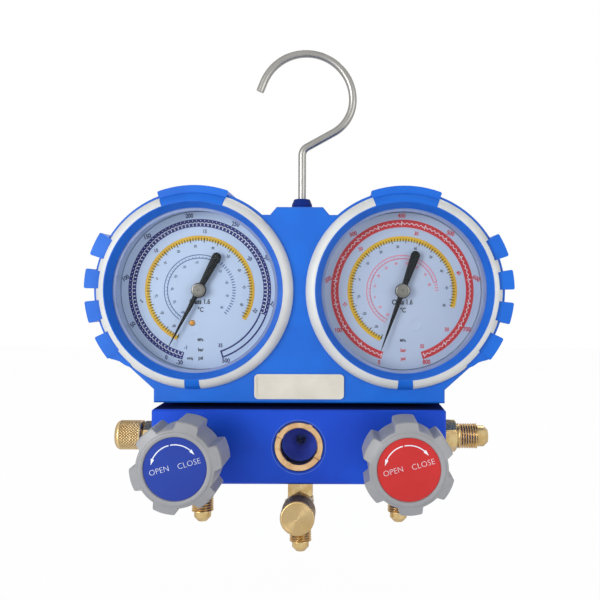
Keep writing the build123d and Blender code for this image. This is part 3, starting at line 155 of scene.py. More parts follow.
def grid_quads(rows, columns):
    """Four corners of each cell of a grid that closes on itself both ways."""
    row, column = np.meshgrid(np.arange(rows), np.arange(columns), indexing="ij")
    below, right = (row + 1) % rows, (column + 1) % columns
    cells = (row * columns + column, row * columns + right, below * columns + right, below * columns + column)
    return np.stack(cells, axis=-1).reshape(-1, 4)


def open_quads(rows, columns):
    """Cells of a grid that closes on itself along its columns only."""
    return grid_quads(rows, columns)[:(rows - 1) * columns]


def polar(radius, angle, height):
    """Points at a distance from the z axis, an angle in radians and a height, as rows of three."""
    points = np.stack((radius * np.cos(angle), radius * np.sin(angle), height + 0 * radius), axis=-1)
    return points.reshape(-1, 3)


def round_surface(name, radius, height, place, ring=False, sharp=35, groove=None):
    """Closed surface: the point of row i and column j stands at radius[i, j] from the axis, at the
    column's angle, and at height[i, j] along the axis. Columns close on themselves, and so do the rows
    of a ring; the first and last rows of any other surface are each a pole or a closed end."""
    rows, columns = radius.shape
    quads = grid_quads(rows, columns) if ring else open_quads(rows, columns)
    points = polar(radius, np.arange(columns) * 2 * pi / columns, height)
    return put_mesh(name, points * MM, quads, place, sharp, groove)


def lathe(name, rows, columns, place, ring=False):
    """Surface of revolution of (radius, height) rows: a solid from axis to axis, or a closed ring."""
    rows = np.array(rows, dtype=float)
    return round_surface(name, np.repeat(rows[:, :1], columns, axis=1), rows[:, 1:], place, ring)


# ---- Prints
def ribbons(inner, outer, level=0.0):
    """Closed flat strips: each runs between an inner and an outer line of points in one plane, and
    is a box section carried along them. The arrays are strips by points by two."""
    strips, count = inner.shape[:2]
    low, high = PRINT_LOW + level, PRINT_HIGH + level
    section = [(inner, low), (outer, low), (outer, high), (inner, high)]
    points = np.stack([np.concatenate((line, np.full((strips, count, 1), z)), axis=2) for line, z in section], axis=2)
    last = 4 * (count - 1)
    sides = grid_quads(count, 4)[:last, [0, 3, 2, 1]]
    ends = np.array([(0, 1, 2, 3), (last + 3, last + 2, last + 1, last)])
    one = np.concatenate((sides, ends))
    quads = (np.arange(strips)[:, None, None] * 4 * count + one).reshape(-1, 4)
    return points.reshape(-1, 3) * MM, quads


def at_angle(radius, degrees_round):
    """Points of a plane at a distance and an angle."""
    angle = np.radians(degrees_round)
    return np.stack((radius * np.cos(angle), radius * np.sin(angle)), axis=-1)


def arc(radius_in, radius_out, start, end, points=121):
    """Strip of one arc between two radii and two angles."""
    angle = np.linspace(start, end, points)[None]
    return ribbons(at_angle(radius_in, angle), at_angle(radius_out, angle))


def ticks(radius_in, radius_out, angles, width, level=0.0):
    """Radial bars of one width, centred on each angle."""
    angles = np.asarray(angles, dtype=float)[:, None]
    middle = at_angle(np.array([[radius_in, radius_out]]), angles)
    across = at_angle(width / 2, angles + 90)
    return ribbons(middle - across, middle + across, level)


def zigzag(radius, swing, start, end, teeth, width):
    """Arc over a band, whose radius follows a triangle wave along its angle."""
    angle = np.linspace(start, end, 2 * teeth + 1)[None]
    line = radius + swing * (triangle(np.linspace(0, teeth, 2 * teeth + 1)) - 0.5)
    return ribbons(at_angle(line - width / 2, angle), at_angle(line + width / 2, angle), OVER)


def print_piece(name, parts, place):
    """One mesh of several points-and-quads pairs."""
    starts = np.cumsum([0] + [len(points) for points, _ in parts])
    quads = np.concatenate([cells + start for (_, cells), start in zip(parts, starts)])
    return put_mesh(name, np.concatenate([points for points, _ in parts]), quads, place, sharp=20)


def lettering(name, words, place, thin=0.0, narrow=1.0):
    """Words as one thin mesh: each is (text, x, y, letter size, turn in degrees), in millimetres.

    The strokes lose thin, a share of the letter size, at each side. The letters' width is times narrow."""
    work = bmesh.new()
    for text, x, y, size, turn in words:
        curve = bpy.data.curves.new(name, "FONT")
        curve.body, curve.size = text, size * MM
        curve.align_x, curve.align_y = "CENTER", "CENTER"
        curve.extrude = (PRINT_HIGH - PRINT_LOW) / 2 * MM
        curve.offset = -thin * size * MM
        curve.resolution_u = 3
        holder = bpy.data.objects.new(name, curve)
        flat = bpy.data.meshes.new_from_object(holder)
        lift = Matrix.Translation((x * MM, y * MM, (PRINT_LOW + PRINT_HIGH) / 2 * MM))
        flat.transform(lift @ Matrix.Rotation(radians(turn), 4, "Z") @ Matrix.Diagonal((narrow, 1, 1, 1)))
        work.from_mesh(flat)
        bpy.data.objects.remove(holder)
        bpy.data.meshes.remove(flat)
        bpy.data.curves.remove(curve)
    bmesh.ops.remove_doubles(work, verts=work.verts, dist=SEAM)
    mesh = bpy.data.meshes.new(name)
    work.to_mesh(mesh)
    work.free()
    mesh.transform(place)
    return add_object(name, mesh)


def around(labels, radius, size):
    """Words on a circle, in the form that lettering takes, from (text, angle) pairs."""
    words = []
    for text, angle in labels:
        lean = (angle - 90) * LEAN if LEANING[0] < angle < LEANING[1] else 0
        words.append((text, radius * cos(radians(angle)), radius * sin(radians(angle)), size, lean))
    return words


# ---- Materials
BUMP = 0.0002           # metres, height of a Bump node's grain or lathe marks at strength one
# Painted shade at the rims: faces seen at a low angle take a darker colour
RIM_SHADE_POWER = 2.4        # how fast the colour at a slanting face comes in
GLASS_POWER = 5.0       # how fast the glass's mirror comes in
STRETCH = 0.85          # how far the shine of a turned face is drawn out
GROUPS = {}


def linear(red, green, blue):
    """Eight-bit display colour as the linear colour that a shader takes."""
    value = np.array((red, green, blue)) / 255
    return (*np.where(value <= 0.04045, value / 12.92, ((value + 0.055) / 1.055) ** 2.4), 1.0)


def feed(tree, socket, value):
    """Joins a socket to another node's output, or gives it a plain value."""
    if isinstance(value, bpy.types.NodeSocket):
        tree.links.new(value, socket)
    else:
        socket.default_value = value


def new_node(tree, kind, values=(), **settings):
    """New shader node with its settings, whose inputs, by label or place, take the values given."""
    node = tree.nodes.new("ShaderNode" + kind)
    for label, setting in settings.items():
        setattr(node, label, setting)
    for label, value in dict(values).items():
        feed(tree, node.inputs[label], value)
    return node


def new_material(name):
    """Material with its tree and its Principled shader."""
    made = bpy.data.materials.new(name)
    made.use_nodes = True
    return made, made.node_tree, made.node_tree.nodes["Principled BSDF"]


def object_place(tree):
    return new_node(tree, "TexCoord").outputs["Object"]


def noise(tree, vector, scale, detail=3.0):
    return new_node(tree, "TexNoise", {"Vector": vector, "Scale": scale, "Detail": detail}).outputs["Fac"]


def blend_colour(tree, factor, first, second):
    return new_node(tree, "Mix", {"Factor": factor, "A": first, "B": second}, data_type="RGBA").outputs["Result"]


def spread(tree, value, low, high, to_low=0.0, to_high=1.0):
    """Carries the range from low to high onto another."""
    ends = {"Value": value, "From Min": low, "From Max": high, "To Min": to_low, "To Max": to_high}
    return new_node(tree, "MapRange", ends).outputs["Result"]


def arithmetic(tree, kind, *values):
    return new_node(tree, "Math", enumerate(values), operation=kind).outputs[0]


def slant(tree, power):
    """How far a face is turned from the eye, from nought to one, raised to a power."""
    return arithmetic(tree, "POWER", new_node(tree, "LayerWeight").outputs["Facing"], power)


def ray_is(tree, *kinds):
    """One for rays of the kinds named, nought for all others."""
    path = new_node(tree, "LightPath").outputs
    found = path[kinds[0]]
    for kind in kinds[1:]:
        found = arithmetic(tree, "MAXIMUM", found, path[kind])
    return found


def seen_directly(tree):
    """One for camera, glossy and transmission rays, nought for the rays that light the object."""
    return ray_is(tree, "Is Camera Ray", "Is Glossy Ray", "Is Transmission Ray")


def show_mix(tree, factor, first, second):
    """Joins a material's surface to two shaders mixed by a factor."""
    mix = new_node(tree, "MixShader", {0: factor, 1: first.outputs[0], 2: second.outputs[0]})
    feed(tree, tree.nodes["Material Output"].inputs["Surface"], mix.outputs[0])


def group(name, inputs, outputs):
    """Empty node group with named sockets: its tree, what it takes and what it gives."""
    tree = bpy.data.node_groups.new(name, "ShaderNodeTree")
    for label, kind, default in inputs:
        socket = tree.interface.new_socket(label, in_out="INPUT", socket_type="NodeSocket" + kind)
        if default is not None:
            socket.default_value = default
    for label, kind in outputs:
        tree.interface.new_socket(label, in_out="OUTPUT", socket_type="NodeSocket" + kind)
    GROUPS[name] = tree
    return tree, tree.nodes.new("NodeGroupInput").outputs, tree.nodes.new("NodeGroupOutput").inputs


def make_drift_group():
    """Cloudy change between two colours, with its mask, which is slow noise drawn apart."""
    tree, take, give = group("colour_drift", (("Vector", "Vector", None), ("Colour", "Color", None),
                                              ("Shade", "Color", None), ("Scale", "Float", 60.0)),
                             (("Colour", "Color"), ("Mask", "Float")))
    slow = spread(tree, noise(tree, take["Vector"], take["Scale"], 4.0), 0.35, 0.65)
    feed(tree, give["Colour"], blend_colour(tree, slow, take["Colour"], take["Shade"]))
    feed(tree, give["Mask"], slow)


def make_grain_group():
    """Fine moulded or blasted grain: two sizes of noise added."""
    tree, take, give = group("fine_grain", (("Vector", "Vector", None), ("Scale", "Float", 1500.0)),
                             (("Height", "Float"),))
    coarse = noise(tree, take["Vector"], take["Scale"], 2.0)
    fine = noise(tree, take["Vector"], arithmetic(tree, "MULTIPLY", take["Scale"], 2.7), 1.0)
    feed(tree, give["Height"], arithmetic(tree, "ADD", coarse, arithmetic(tree, "MULTIPLY", fine, 0.5)))


def make_turning_group():
    """Lathe marks: noise read at the distance from the Z axis of the vector given, and at a third of
    its height, so that it is the same all the way round."""
    tree, take, give = group("turning_marks", (("Vector", "Vector", None), ("Scale", "Float", 3000.0)),
                             (("Height", "Float"), ("Mask", "Float")))
    parts = new_node(tree, "SeparateXYZ", {0: take["Vector"]}).outputs
    squares = [arithmetic(tree, "MULTIPLY", parts[axis], parts[axis]) for axis in "XY"]
    radius = arithmetic(tree, "SQRT", arithmetic(tree, "ADD", *squares))
    spot = new_node(tree, "CombineXYZ", {"X": radius, "Y": arithmetic(tree, "MULTIPLY", parts["Z"], 0.35)})
    marks = noise(tree, spot.outputs[0], take["Scale"], 2.0)
    feed(tree, give["Height"], marks)
    feed(tree, give["Mask"], spread(tree, marks, 0.3, 0.7))


def use_group(tree, name, vector, **values):
    """Outputs of a node group placed in a material with its own values."""
    return new_node(tree, "Group", {"Vector": vector, **values}, node_tree=GROUPS[name]).outputs


def material(name, colour, shade, rough, metallic=0.0, drift=60.0, grain=1500.0, depth=0.15, coat=0.0,
             axis=None, turn=(0, 0, 0), bounce=0.5, edge=None, groove=None, turned=None):
    """Principled material: drifting colour, roughness between two values, grain or lathe marks.

    With axis, a point in metres, the grain is lathe marks about that point, turned by turn, and with turned, the way
    of that axis, the shine is drawn out across the marks in rays. Faces seen at a low angle take the colour edge,
    which is painted shade at the rims, and the bottoms of threads and knurls the colour groove, which is painted
    shade in the grooves."""
    made, tree, shader = new_material(name)
    place = object_place(tree)
    tone = use_group(tree, "colour_drift", place, Colour=colour, Shade=shade, Scale=drift)
    paint, mask = tone["Colour"], tone["Mask"]
    if edge is not None:
        # Painted shade at the rims: faces seen at a low angle darken towards the colour edge
        paint = blend_colour(tree, slant(tree, RIM_SHADE_POWER), paint, edge)
    if groove is not None:
        # Painted shade in the grooves: the bottoms of threads and knurls darken towards the colour groove
        paint = blend_colour(tree, new_node(tree, "Attribute", attribute_name="groove").outputs["Fac"], paint, groove)
    if axis is None:
        height = use_group(tree, "fine_grain", place, Scale=grain)["Height"]
    else:
        about = {"Vector": place, "Location": axis, "Rotation": turn}
        own = new_node(tree, "Mapping", about, vector_type="TEXTURE").outputs[0]
        marks = use_group(tree, "turning_marks", own, Scale=grain)
        height, mask = marks["Height"], marks["Mask"]
    bump = new_node(tree, "Bump", {"Strength": depth, "Distance": BUMP, "Height": height})
    values = {"Base Color": paint, "Roughness": spread(tree, mask, 0, 1, *rough), "Normal": bump.outputs["Normal"],
              "Metallic": metallic, "Coat Weight": coat, "Coat Roughness": 0.15, "Specular IOR Level": bounce}
    if turned is not None:
        out = new_node(tree, "VectorMath", {0: place, 1: axis}, operation="SUBTRACT").outputs[0]
        along = new_node(tree, "VectorMath", {0: out, 1: turned}, operation="CROSS_PRODUCT").outputs[0]
        values |= {"Tangent": along, "Anisotropic": STRETCH}
    for label, value in values.items():
        feed(tree, shader.inputs[label], value)
    return made


def glass_material():
    """Flat clear glass: what is behind shows straight through, under a mirror that grows with the fifth
    power of the slant."""
    made, tree, shader = new_material("clear_glass")
    tree.nodes.remove(shader)
    clear = new_node(tree, "BsdfTransparent", {"Color": (0.95, 0.97, 0.975, 1.0)})
    smear = spread(tree, noise(tree, object_place(tree), 90.0), 0.3, 0.7, 0.02, 0.06)
    mirror = new_node(tree, "BsdfGlossy", {"Roughness": smear})
    share = arithmetic(tree, "MULTIPLY_ADD", slant(tree, GLASS_POWER), 0.9, 0.008)
    passing = ray_is(tree, "Is Shadow Ray", "Is Diffuse Ray")
    show_mix(tree, arithmetic(tree, "MULTIPLY", share, arithmetic(tree, "SUBTRACT", 1.0, passing)), clear, mirror)
    return made


def dim_between(made, low, high, dark):
    """Painted shade: darkens and dulls a material between two heights, in metres, where its neighbours shut the light
    out.
    """
    tree = made.node_tree
    shader = tree.nodes["Principled BSDF"].inputs
    height = new_node(tree, "SeparateXYZ", {0: object_place(tree)}).outputs["Z"]
    inside = arithmetic(tree, "MULTIPLY", arithmetic(tree, "GREATER_THAN", height, low),
                        arithmetic(tree, "LESS_THAN", height, high))
    base = shader["Base Color"]
    feed(tree, base, blend_colour(tree, inside, base.links[0].from_socket, dark))
    for label in ("Metallic", "Specular IOR Level"):
        feed(tree, shader[label], spread(tree, inside, 0, 1, shader[label].default_value, 0.0))


def dress(node, made):
    """Gives a CAD node its material in every slot."""
    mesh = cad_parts[node].data
    if not mesh.materials:
        mesh.materials.append(made)
    for index in range(len(mesh.materials)):
        mesh.materials[index] = made


def settle(piece, body, slot, made, replaces=()):
    """Finish of a new piece: material, body and the CAD nodes that it stands for. slot is not used."""
    piece.data.materials.clear()
    piece.data.materials.append(made)
    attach(piece, body)
    if replaces:
        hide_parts(*replaces)


# ---- Sizes and colours
class StageProps(bpy.types.PropertyGroup):
    lens: FloatProperty(name="Lens", description="Focal length on a 36 mm sensor", default=46.86)
    shift: FloatVectorProperty(name="Shift", description="Camera shift, right and up", size=2,
                               default=(-0.0757, -0.0142))
    place: FloatVectorProperty(name="Camera", description="Place of the camera", subtype="TRANSLATION",
                               unit="LENGTH", default=(0.0204, -0.4042, -0.121))
    roll: FloatProperty(name="Roll", description="Roll of the camera", subtype="ANGLE", default=radians(-0.18))
    ambient: FloatProperty(name="Ambient", description="Strength of the plain world light", default=0.5)
    key: FloatProperty(name="Key", description="Power of the side and back lamps", default=2.3, unit="POWER")
    drop: FloatProperty(name="Drop", description="Floor below the lowest port", default=0.004, unit="LENGTH")


class HousingProps(bpy.types.PropertyGroup):
    blue: FloatVectorProperty(name="Blue", description="Moulded housing", subtype="COLOR", size=4,
                              default=linear(18, 105, 212), min=0, max=1)
    # The pale colour also paints the highlight ring at each lens's edge
    pale: FloatVectorProperty(name="Pale", description="Name plate and edges of the lenses", subtype="COLOR", size=4,
                              default=linear(220, 216, 204), min=0, max=1)
    block: FloatVectorProperty(name="Block", description="Anodised manifold block", subtype="COLOR", size=4,
                               default=linear(10, 76, 208), min=0, max=1)


class DialProps(bpy.types.PropertyGroup):
    band_in: FloatProperty(name="Band inside", description="Inner radius of the broad band, mm", default=32.4)
    band_out: FloatProperty(name="Band outside", description="Outer radius of the broad band, mm", default=36.3)
    yellow_in: FloatProperty(name="Yellow inside", description="Inner radius of the yellow arc, mm", default=25.6)
    yellow_out: FloatProperty(name="Yellow outside", description="Outer radius of the yellow arc, mm", default=27.9)
    fine_in: FloatProperty(name="Fine inside", description="Inner radius of the thin scale, mm", default=16.2)
    fine_out: FloatProperty(name="Fine outside", description="Outer radius of the thin scale, mm", default=18.3)
    number: FloatProperty(name="Numbers", description="Letter size of the outer numbers, mm", default=3.1)


class FittingProps(bpy.types.PropertyGroup):
    pitch: FloatProperty(name="Pitch", description="Thread pitch, mm", default=1.27)
    depth: FloatProperty(name="Depth", description="Thread depth, mm", default=0.46)
    knurls: IntProperty(name="Knurls", description="Diamonds round a cap", default=30)
    knurl_depth: FloatProperty(name="Knurl depth", description="Height of a diamond, mm", default=0.42)
    sides: IntProperty(name="Columns", description="Points round a fitting", default=144)


class WheelProps(bpy.types.PropertyGroup):
    lobes: IntProperty(name="Lobes", description="Lobes of a hand wheel", default=6)
    crest: FloatProperty(name="Crest", description="Radius over the lobes, mm", default=20.3)
    valley: FloatProperty(name="Valley", description="Radius between the lobes, mm", default=17.3)
    rim: FloatProperty(name="Rim", description="Outer radius of the rim round the label, mm", default=15.7)
    label: FloatProperty(name="Label", description="Radius of the label, mm", default=13.6)
    length: FloatProperty(name="Length", description="Length of the hand wheel, mm", default=24.0)
    round: FloatProperty(name="Round", description="Radius of the lobes' front edge, mm", default=1.1)


# ---- Stage
# Name, place, width in metres and power as a share of the key's
LAMPS = (("key", (-0.6, -0.75, 0.02), 0.5, 2.2), ("fill", (0.7, -0.6, -0.05), 0.7, 1.0),
         ("rim", (0.1, 0.5, 0.5), 0.6, 1.0))
FLOOR_REACH, FLOOR_POINTS = 1.5, 25     # metres each way from the middle, and points along a side


class GAUGE_OT_stage(bpy.types.Operator):
    """Camera, lamps, world and floor"""
    bl_idname = "gauge.stage"
    bl_label = "Build the stage"

    def execute(self, context):
        props, scene = context.scene.gauge_stage, context.scene
        scene.view_settings.view_transform = "Standard"
        data = bpy.data.cameras.new("camera")
        data.lens, data.sensor_width = props.lens, 36.0
        data.shift_x, data.shift_y = props.shift
        data.clip_start, data.clip_end = 0.01, 20.0
        scene.camera = add_object("camera", data)
        scene.camera.location = props.place
        scene.camera.rotation_euler = (radians(90), props.roll, 0)
        for name, place, size, share in LAMPS:
            self.lamp(name, place, size, props.key * share)

        world = scene.world = bpy.data.worlds.new("plain")
        world.use_nodes = True
        tree = world.node_tree
        back = tree.nodes["Background"].inputs
        feed(tree, back["Strength"], spread(tree, seen_directly(tree), 0, 1, props.ambient, 1.0))
        feed(tree, back["Color"], (1, 1, 1, 1))
        self.floor(CAD_BOX[0][2] - props.drop)
        return {"FINISHED"}

    def lamp(self, name, place, size, power):
        """Round lamp that looks at the middle of the object."""
        data = bpy.data.lights.new(name, "AREA")
        data.shape, data.size, data.energy = "DISK", size, power
        light = add_object(name, data)
        light.location = place
        middle = (Vector(CAD_BOX[0]) + Vector(CAD_BOX[1])) / 2
        light.rotation_euler = (middle - Vector(place)).to_track_quat("-Z", "Y").to_euler()

    def floor(self, height):
        """Flat floor that shows white itself and keeps the object's shadow."""
        span = np.linspace(-FLOOR_REACH, FLOOR_REACH, FLOOR_POINTS)
        along, across = np.meshgrid(span, span, indexing="ij")
        points = np.stack((across, along, np.full(across.shape, height)), axis=-1).reshape(-1, 3)
        cells = open_quads(FLOOR_POINTS, FLOOR_POINTS).reshape(-1, FLOOR_POINTS, 4)[:, :-1]
        floor = put_mesh("floor", points, cells.reshape(-1, 4), merge=False)
        made, tree, shader = new_material("pale_floor")
        tone = spread(tree, noise(tree, object_place(tree), 30.0), 0.3, 0.7)
        pale = blend_colour(tree, tone, linear(244, 244, 244), linear(238, 238, 238))
        feed(tree, shader.inputs["Base Color"], pale)
        feed(tree, shader.inputs["Roughness"], 0.8)
        glow = arithmetic(tree, "MULTIPLY", seen_directly(tree), 0.97)
        show_mix(tree, glow, shader, new_node(tree, "Emission"))
        floor.data.materials.append(made)


# ---- Materials of the CAD nodes
MADE = {}
BRASS, BRASS_SHADE = (212, 188, 138), (190, 160, 106)
# Painted shade: the first colour at brass rims seen at a low angle, the next two in the bottoms of threads and of
# knurls
BRASS_RIM_SHADE, BRASS_GROOVE_SHADE, KNURL_GROOVE_SHADE = linear(120, 84, 40), linear(190, 148, 84), linear(138, 100, 54)
# Finish, material, colour (eight-bit, or a property's name), second colour, roughness, other values
LOOKS = (
    ("blue", "moulded_blue", "blue", (14, 97, 202), (0.36, 0.46), {"grain": 2200, "depth": 0.08, "bounce": 0.3}),
    ("pale", "moulded_pale", "pale", (206, 202, 190), (0.38, 0.5), {"grain": 2000, "depth": 0.12}),
    ("trim", "moulded_trim", (210, 212, 212), (200, 202, 202), (0.38, 0.5), {"grain": 2000, "depth": 0.1}),
    ("block", "anodised_block", "block", (8, 64, 190), (0.36, 0.48),
     {"metallic": 0.5, "drift": 25, "grain": 3500, "depth": 0.10}),
    ("grey", "grey_plastic", (150, 151, 155), (142, 143, 147), (0.38, 0.48), {"grain": 2600, "depth": 0.12}),
    ("label_low", "label_blue", (24, 58, 156), (20, 52, 148), (0.3, 0.36),
     {"grain": 900, "depth": 0.03, "coat": 0.1, "bounce": 0.3}),
    ("label_high", "label_red", (196, 41, 41), (188, 37, 37), (0.3, 0.36),
     {"grain": 900, "depth": 0.03, "coat": 0.1, "bounce": 0.3}),
    ("white_ink", "white_ink", (236, 240, 248), (222, 228, 240), (0.45, 0.55), {"grain": 1800, "depth": 0.05}),
    ("brass", "machined_brass", BRASS, BRASS_SHADE, (0.22, 0.34),
     {"metallic": 1.0, "drift": 220, "grain": 4200, "depth": 0.04, "edge": BRASS_RIM_SHADE, "groove": BRASS_GROOVE_SHADE}),
    # The steel's edge colour is painted shade at its rims
    ("steel", "drawn_steel", (158, 157, 153), (150, 148, 144), (0.3, 0.34),
     {"metallic": 1.0, "drift": 200, "grain": 1500, "depth": 0.003, "edge": linear(84, 80, 74)}),
    ("case", "grey_case", (188, 202, 230), (178, 192, 220), (0.34, 0.46),
     {"metallic": 0.2, "grain": 1800, "depth": 0.08}),
    ("bezel", "bright_bezel", (130, 146, 184), (122, 138, 176), (0.3, 0.4),
     {"metallic": 0.3, "drift": 120, "grain": 3000, "depth": 0.04}),
    ("dial", "printed_dial", (194, 207, 232), (188, 201, 227), (0.4, 0.48),
     {"drift": 25, "grain": 1600, "depth": 0.03}),
    # Painted shade: the high gauge's dial is a darker copy of the same printed dial colour
    ("dial_high", "printed_dial_high", (188, 196, 219), (181, 190, 213), (0.4, 0.48),
     {"drift": 25, "grain": 1600, "depth": 0.03}),
    ("black", "black_paint", (20, 22, 26), (15, 17, 20), (0.4, 0.5), {"bounce": 0.15, "grain": 2400, "depth": 0.08}),
    ("rubber", "black_rubber", (28, 28, 30), (38, 38, 40), (0.6, 0.75), {"grain": 1400, "depth": 0.2}),
    ("bush", "dark_blue_bush", (10, 44, 126), (8, 38, 112), (0.42, 0.52),
     {"bounce": 0.12, "grain": 2400, "depth": 0.08}),
    ("socket", "socket_brass", BRASS, BRASS_SHADE, (0.22, 0.36), {"metallic": 1.0, "grain": 4200, "depth": 0.12}),
    ("ring", "turned_ring", (228, 192, 146), (206, 166, 120), (0.22, 0.36),
     {"metallic": 1.0, "drift": 300, "grain": 4200, "depth": 0.08, "edge": BRASS_RIM_SHADE}),
)
# Word in a node's name and its finish: the first that fits holds, and everything else is brass
FINISHES = (
    ("gauge_socket", "socket"), ("sight_glass_ring", "ring"), ("trim_ring", "trim"), ("name_plate", "pale"),
    ("shell_screws", "steel"), ("shell", "blue"), ("manifold_block", "block"), ("sight_glass_lens", "glass"),
    ("gauge_lens", "glass"), ("seal", "rubber"), ("gauge_case", "case"), ("gauge_bezel", "bezel"),
    ("high_gauge_dial", "dial_high"), ("gauge_dial", "dial"), ("pointer", "black"),
    ("low_knob_label", "label_low"), ("high_knob_label", "label_high"), ("knob_screw", "steel"), ("knob", "grey"),
    ("hook_bushing", "bush"), ("hook", "steel"), ("pinion", "steel"),
)


class GAUGE_OT_materials(bpy.types.Operator):
    """Node groups, materials and the finish of every CAD node"""
    bl_idname = "gauge.materials"
    bl_label = "Make the materials"

    def execute(self, context):
        props = context.scene.gauge_housing
        make_drift_group()
        make_grain_group()
        make_turning_group()
        for finish, name, colour, shade, rough, more in LOOKS:
            first = tuple(getattr(props, colour)) if isinstance(colour, str) else linear(*colour)
            MADE[finish] = material(name, first, linear(*shade), rough, **more)
        MADE["glass"] = glass_material()
        top, base = high_corner("manifold_block")[2], low_corner("rear_shell")[2]
        # Painted shade on the block's top face under the housing, and on the sockets between the block and the
        # housing
        dim_between(MADE["block"], top - 0.05 * MM, top + MM, linear(34, 44, 100))
        dim_between(MADE["socket"], top - 5 * MM, base + 5 * MM, linear(18, 14, 10))
        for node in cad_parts:
            dress(node, MADE[next((finish for word, finish in FINISHES if word in node), "brass")])
        for side in SIDES:
            MADE[f"{side}_hub"] = material(
                f"{side}_hub_steel", linear(142, 137, 132), linear(112, 107, 103), (0.25, 0.4), metallic=1.0,
                grain=5000, depth=0.08, axis=tuple(centre(f"{side}_pointer")), turn=(radians(90), 0, 0))
        return {"FINISHED"}


# ---- Dials
# Angles are degrees from the right, counter-clockwise, and steps are degrees from one number to the next
DIALS = {
    "low": {
        "rest": 242.0, "zero": 243.7, "step": -36.4, "outer": range(0, 400, 50), "ends": (256.0, -20.5),
        "bar_zero": 243.7, "bar_step": -52.8, "bar": range(0, 30, 5), "yellow": (245.0, -33.0),
        "zigzag": (3.3, 0.45, 0.32),
        "fine": (235.0, 60.0), "fine_marks": (60.0, -45.0), "inner": range(-60, 50, 10),
        "inner_zero": 232.0, "inner_step": -27.0, "far": [("-30", 254.5), ("500", -69.4)],
        "far_bar": [("-1", 256.5), ("35", -69.3)], "outline_end": -70.7,
        "inks": ((12, 18, 108), (26, 32, 96), (78, 100, 148)),
        "units": [("bar", 0.6, -30.2, 2.6, 0), ("psi", 0.6, -34.4, 2.6, 0), ("inHg", -4.9, -34.6, 1.9, 0)],
    },
    "high": {
        "rest": 250.4, "zero": 252.2, "step": -40.4, "outer": range(0, 900, 100), "ends": (253.0, -73.0),
        "bar_zero": 252.2, "bar_step": -58.6, "bar": range(0, 60, 10), "yellow": (246.0, -18.0),
        "zigzag": (4, 0.9, 0.34),
        "fine": (242.0, 15.0), "fine_marks": (15.0, -3.0), "inner": range(-20, 90, 10),
        "inner_zero": 238.0, "inner_step": -22.5, "far": [],
        "far_bar": [("55", -70.1)], "outline_end": None,
        "inks": ((206, 46, 52), (206, 52, 60), (226, 120, 140)),
        "units": [("bar", 0.6, -30.2, 2.6, 0), ("psi", 0.6, -34.4, 2.6, 0)],
    },
}
CENTRE_WORDS = [("Class 1.6", 0.0, -5.8, 3.5, 0), ("°C", 0.4, -9.9, 3.3, 0), ("MPa", 0.4, -25.2, 2.1, 0)]
OUTLINE = 0.8           # mm, width of the line round the band's open end
YELLOW_PITCH, FINE_PITCH, MARK_PITCH = -3.2, -6.0, -4.6         # degrees from one tick to the next


def band_parts(props, facts):
    """The broad band and, where it has one, the open outline that carries it on."""
    start, end = facts["ends"]
    inner, outer, far = props.band_in, props.band_out, facts["outline_end"]
    parts = [arc(inner, outer, start, end)]
    if far is not None:
        parts += [arc(inner, inner + OUTLINE, end + 0.3, far), arc(outer - OUTLINE, outer, end + 0.3, far),
                  ticks(inner, outer, [far], OUTLINE)]
    return parts


def band_marks(props, facts, side):
    """Light zig-zag line that parts the band's two scales, and ticks at its edges or across it."""
    start, end = facts["ends"]
    inner, outer = props.band_in, props.band_out
    middle = (inner + outer) / 2
    pitch, swing, width = facts["zigzag"]
    parting = zigzag(middle, swing, start - 1, end + 1, int((start - end) / pitch), width)
    if side == "low":
        angles = np.arange(start - 1.5, end + 1, -pitch)
        return [parting, ticks(inner + 0.45, inner + 1.35, angles, 0.4, OVER),
                ticks(outer - 1.0, outer - 0.5, angles, 0.25, OVER)]
    angles = np.arange(facts["zero"], end, facts["step"] / 2)
    return [parting, ticks(middle - 1.15, middle + 1.15, angles, 0.28, OVER)]


def scale_marks(props, facts):
    """Dark ticks over the yellow arc, every fifth one longer."""
    angles = np.arange(*facts["yellow"], YELLOW_PITCH)
    return [ticks(props.yellow_in - 0.5, props.yellow_in + 1.2, angles, 0.5, OVER),
            ticks(props.yellow_in - 1.3, props.yellow_in + 1.2, angles[::5], 0.4, OVER)]


def fine_parts(props, facts):
    """Thin double scale with its ticks, and the broader ticks that go on from it."""
    inner, outer = props.fine_in, props.fine_out
    return [arc(inner, inner + 0.45, *facts["fine"]), arc(outer - 0.45, outer, *facts["fine"]),
            ticks(inner, outer - 1.0, np.arange(*facts["fine"], FINE_PITCH), 0.25),
            ticks(inner + 0.4, outer, np.arange(*facts["fine_marks"], MARK_PITCH), 0.5)]


def numbers(values, zero, step):
    """Each value as text, with its angle."""
    return [(str(value), zero + k * step) for k, value in enumerate(values)]


def outer_words(props, facts):
    """Numbers outside the band and inside it."""
    outside = numbers(facts["outer"], facts["zero"], facts["step"]) + facts["far"]
    inside = numbers(facts["bar"], facts["bar_zero"], facts["bar_step"])[1:] + facts["far_bar"]
    return (around(outside, props.band_out + 1.9, props.number)
            + around(inside, props.band_in - 2.4, props.number * 0.86))


def ink(name, colour, shade, rough=(0.45, 0.5)):
    return material(f"{name}_ink", linear(*colour), linear(*shade), rough, grain=2000, depth=0.04)


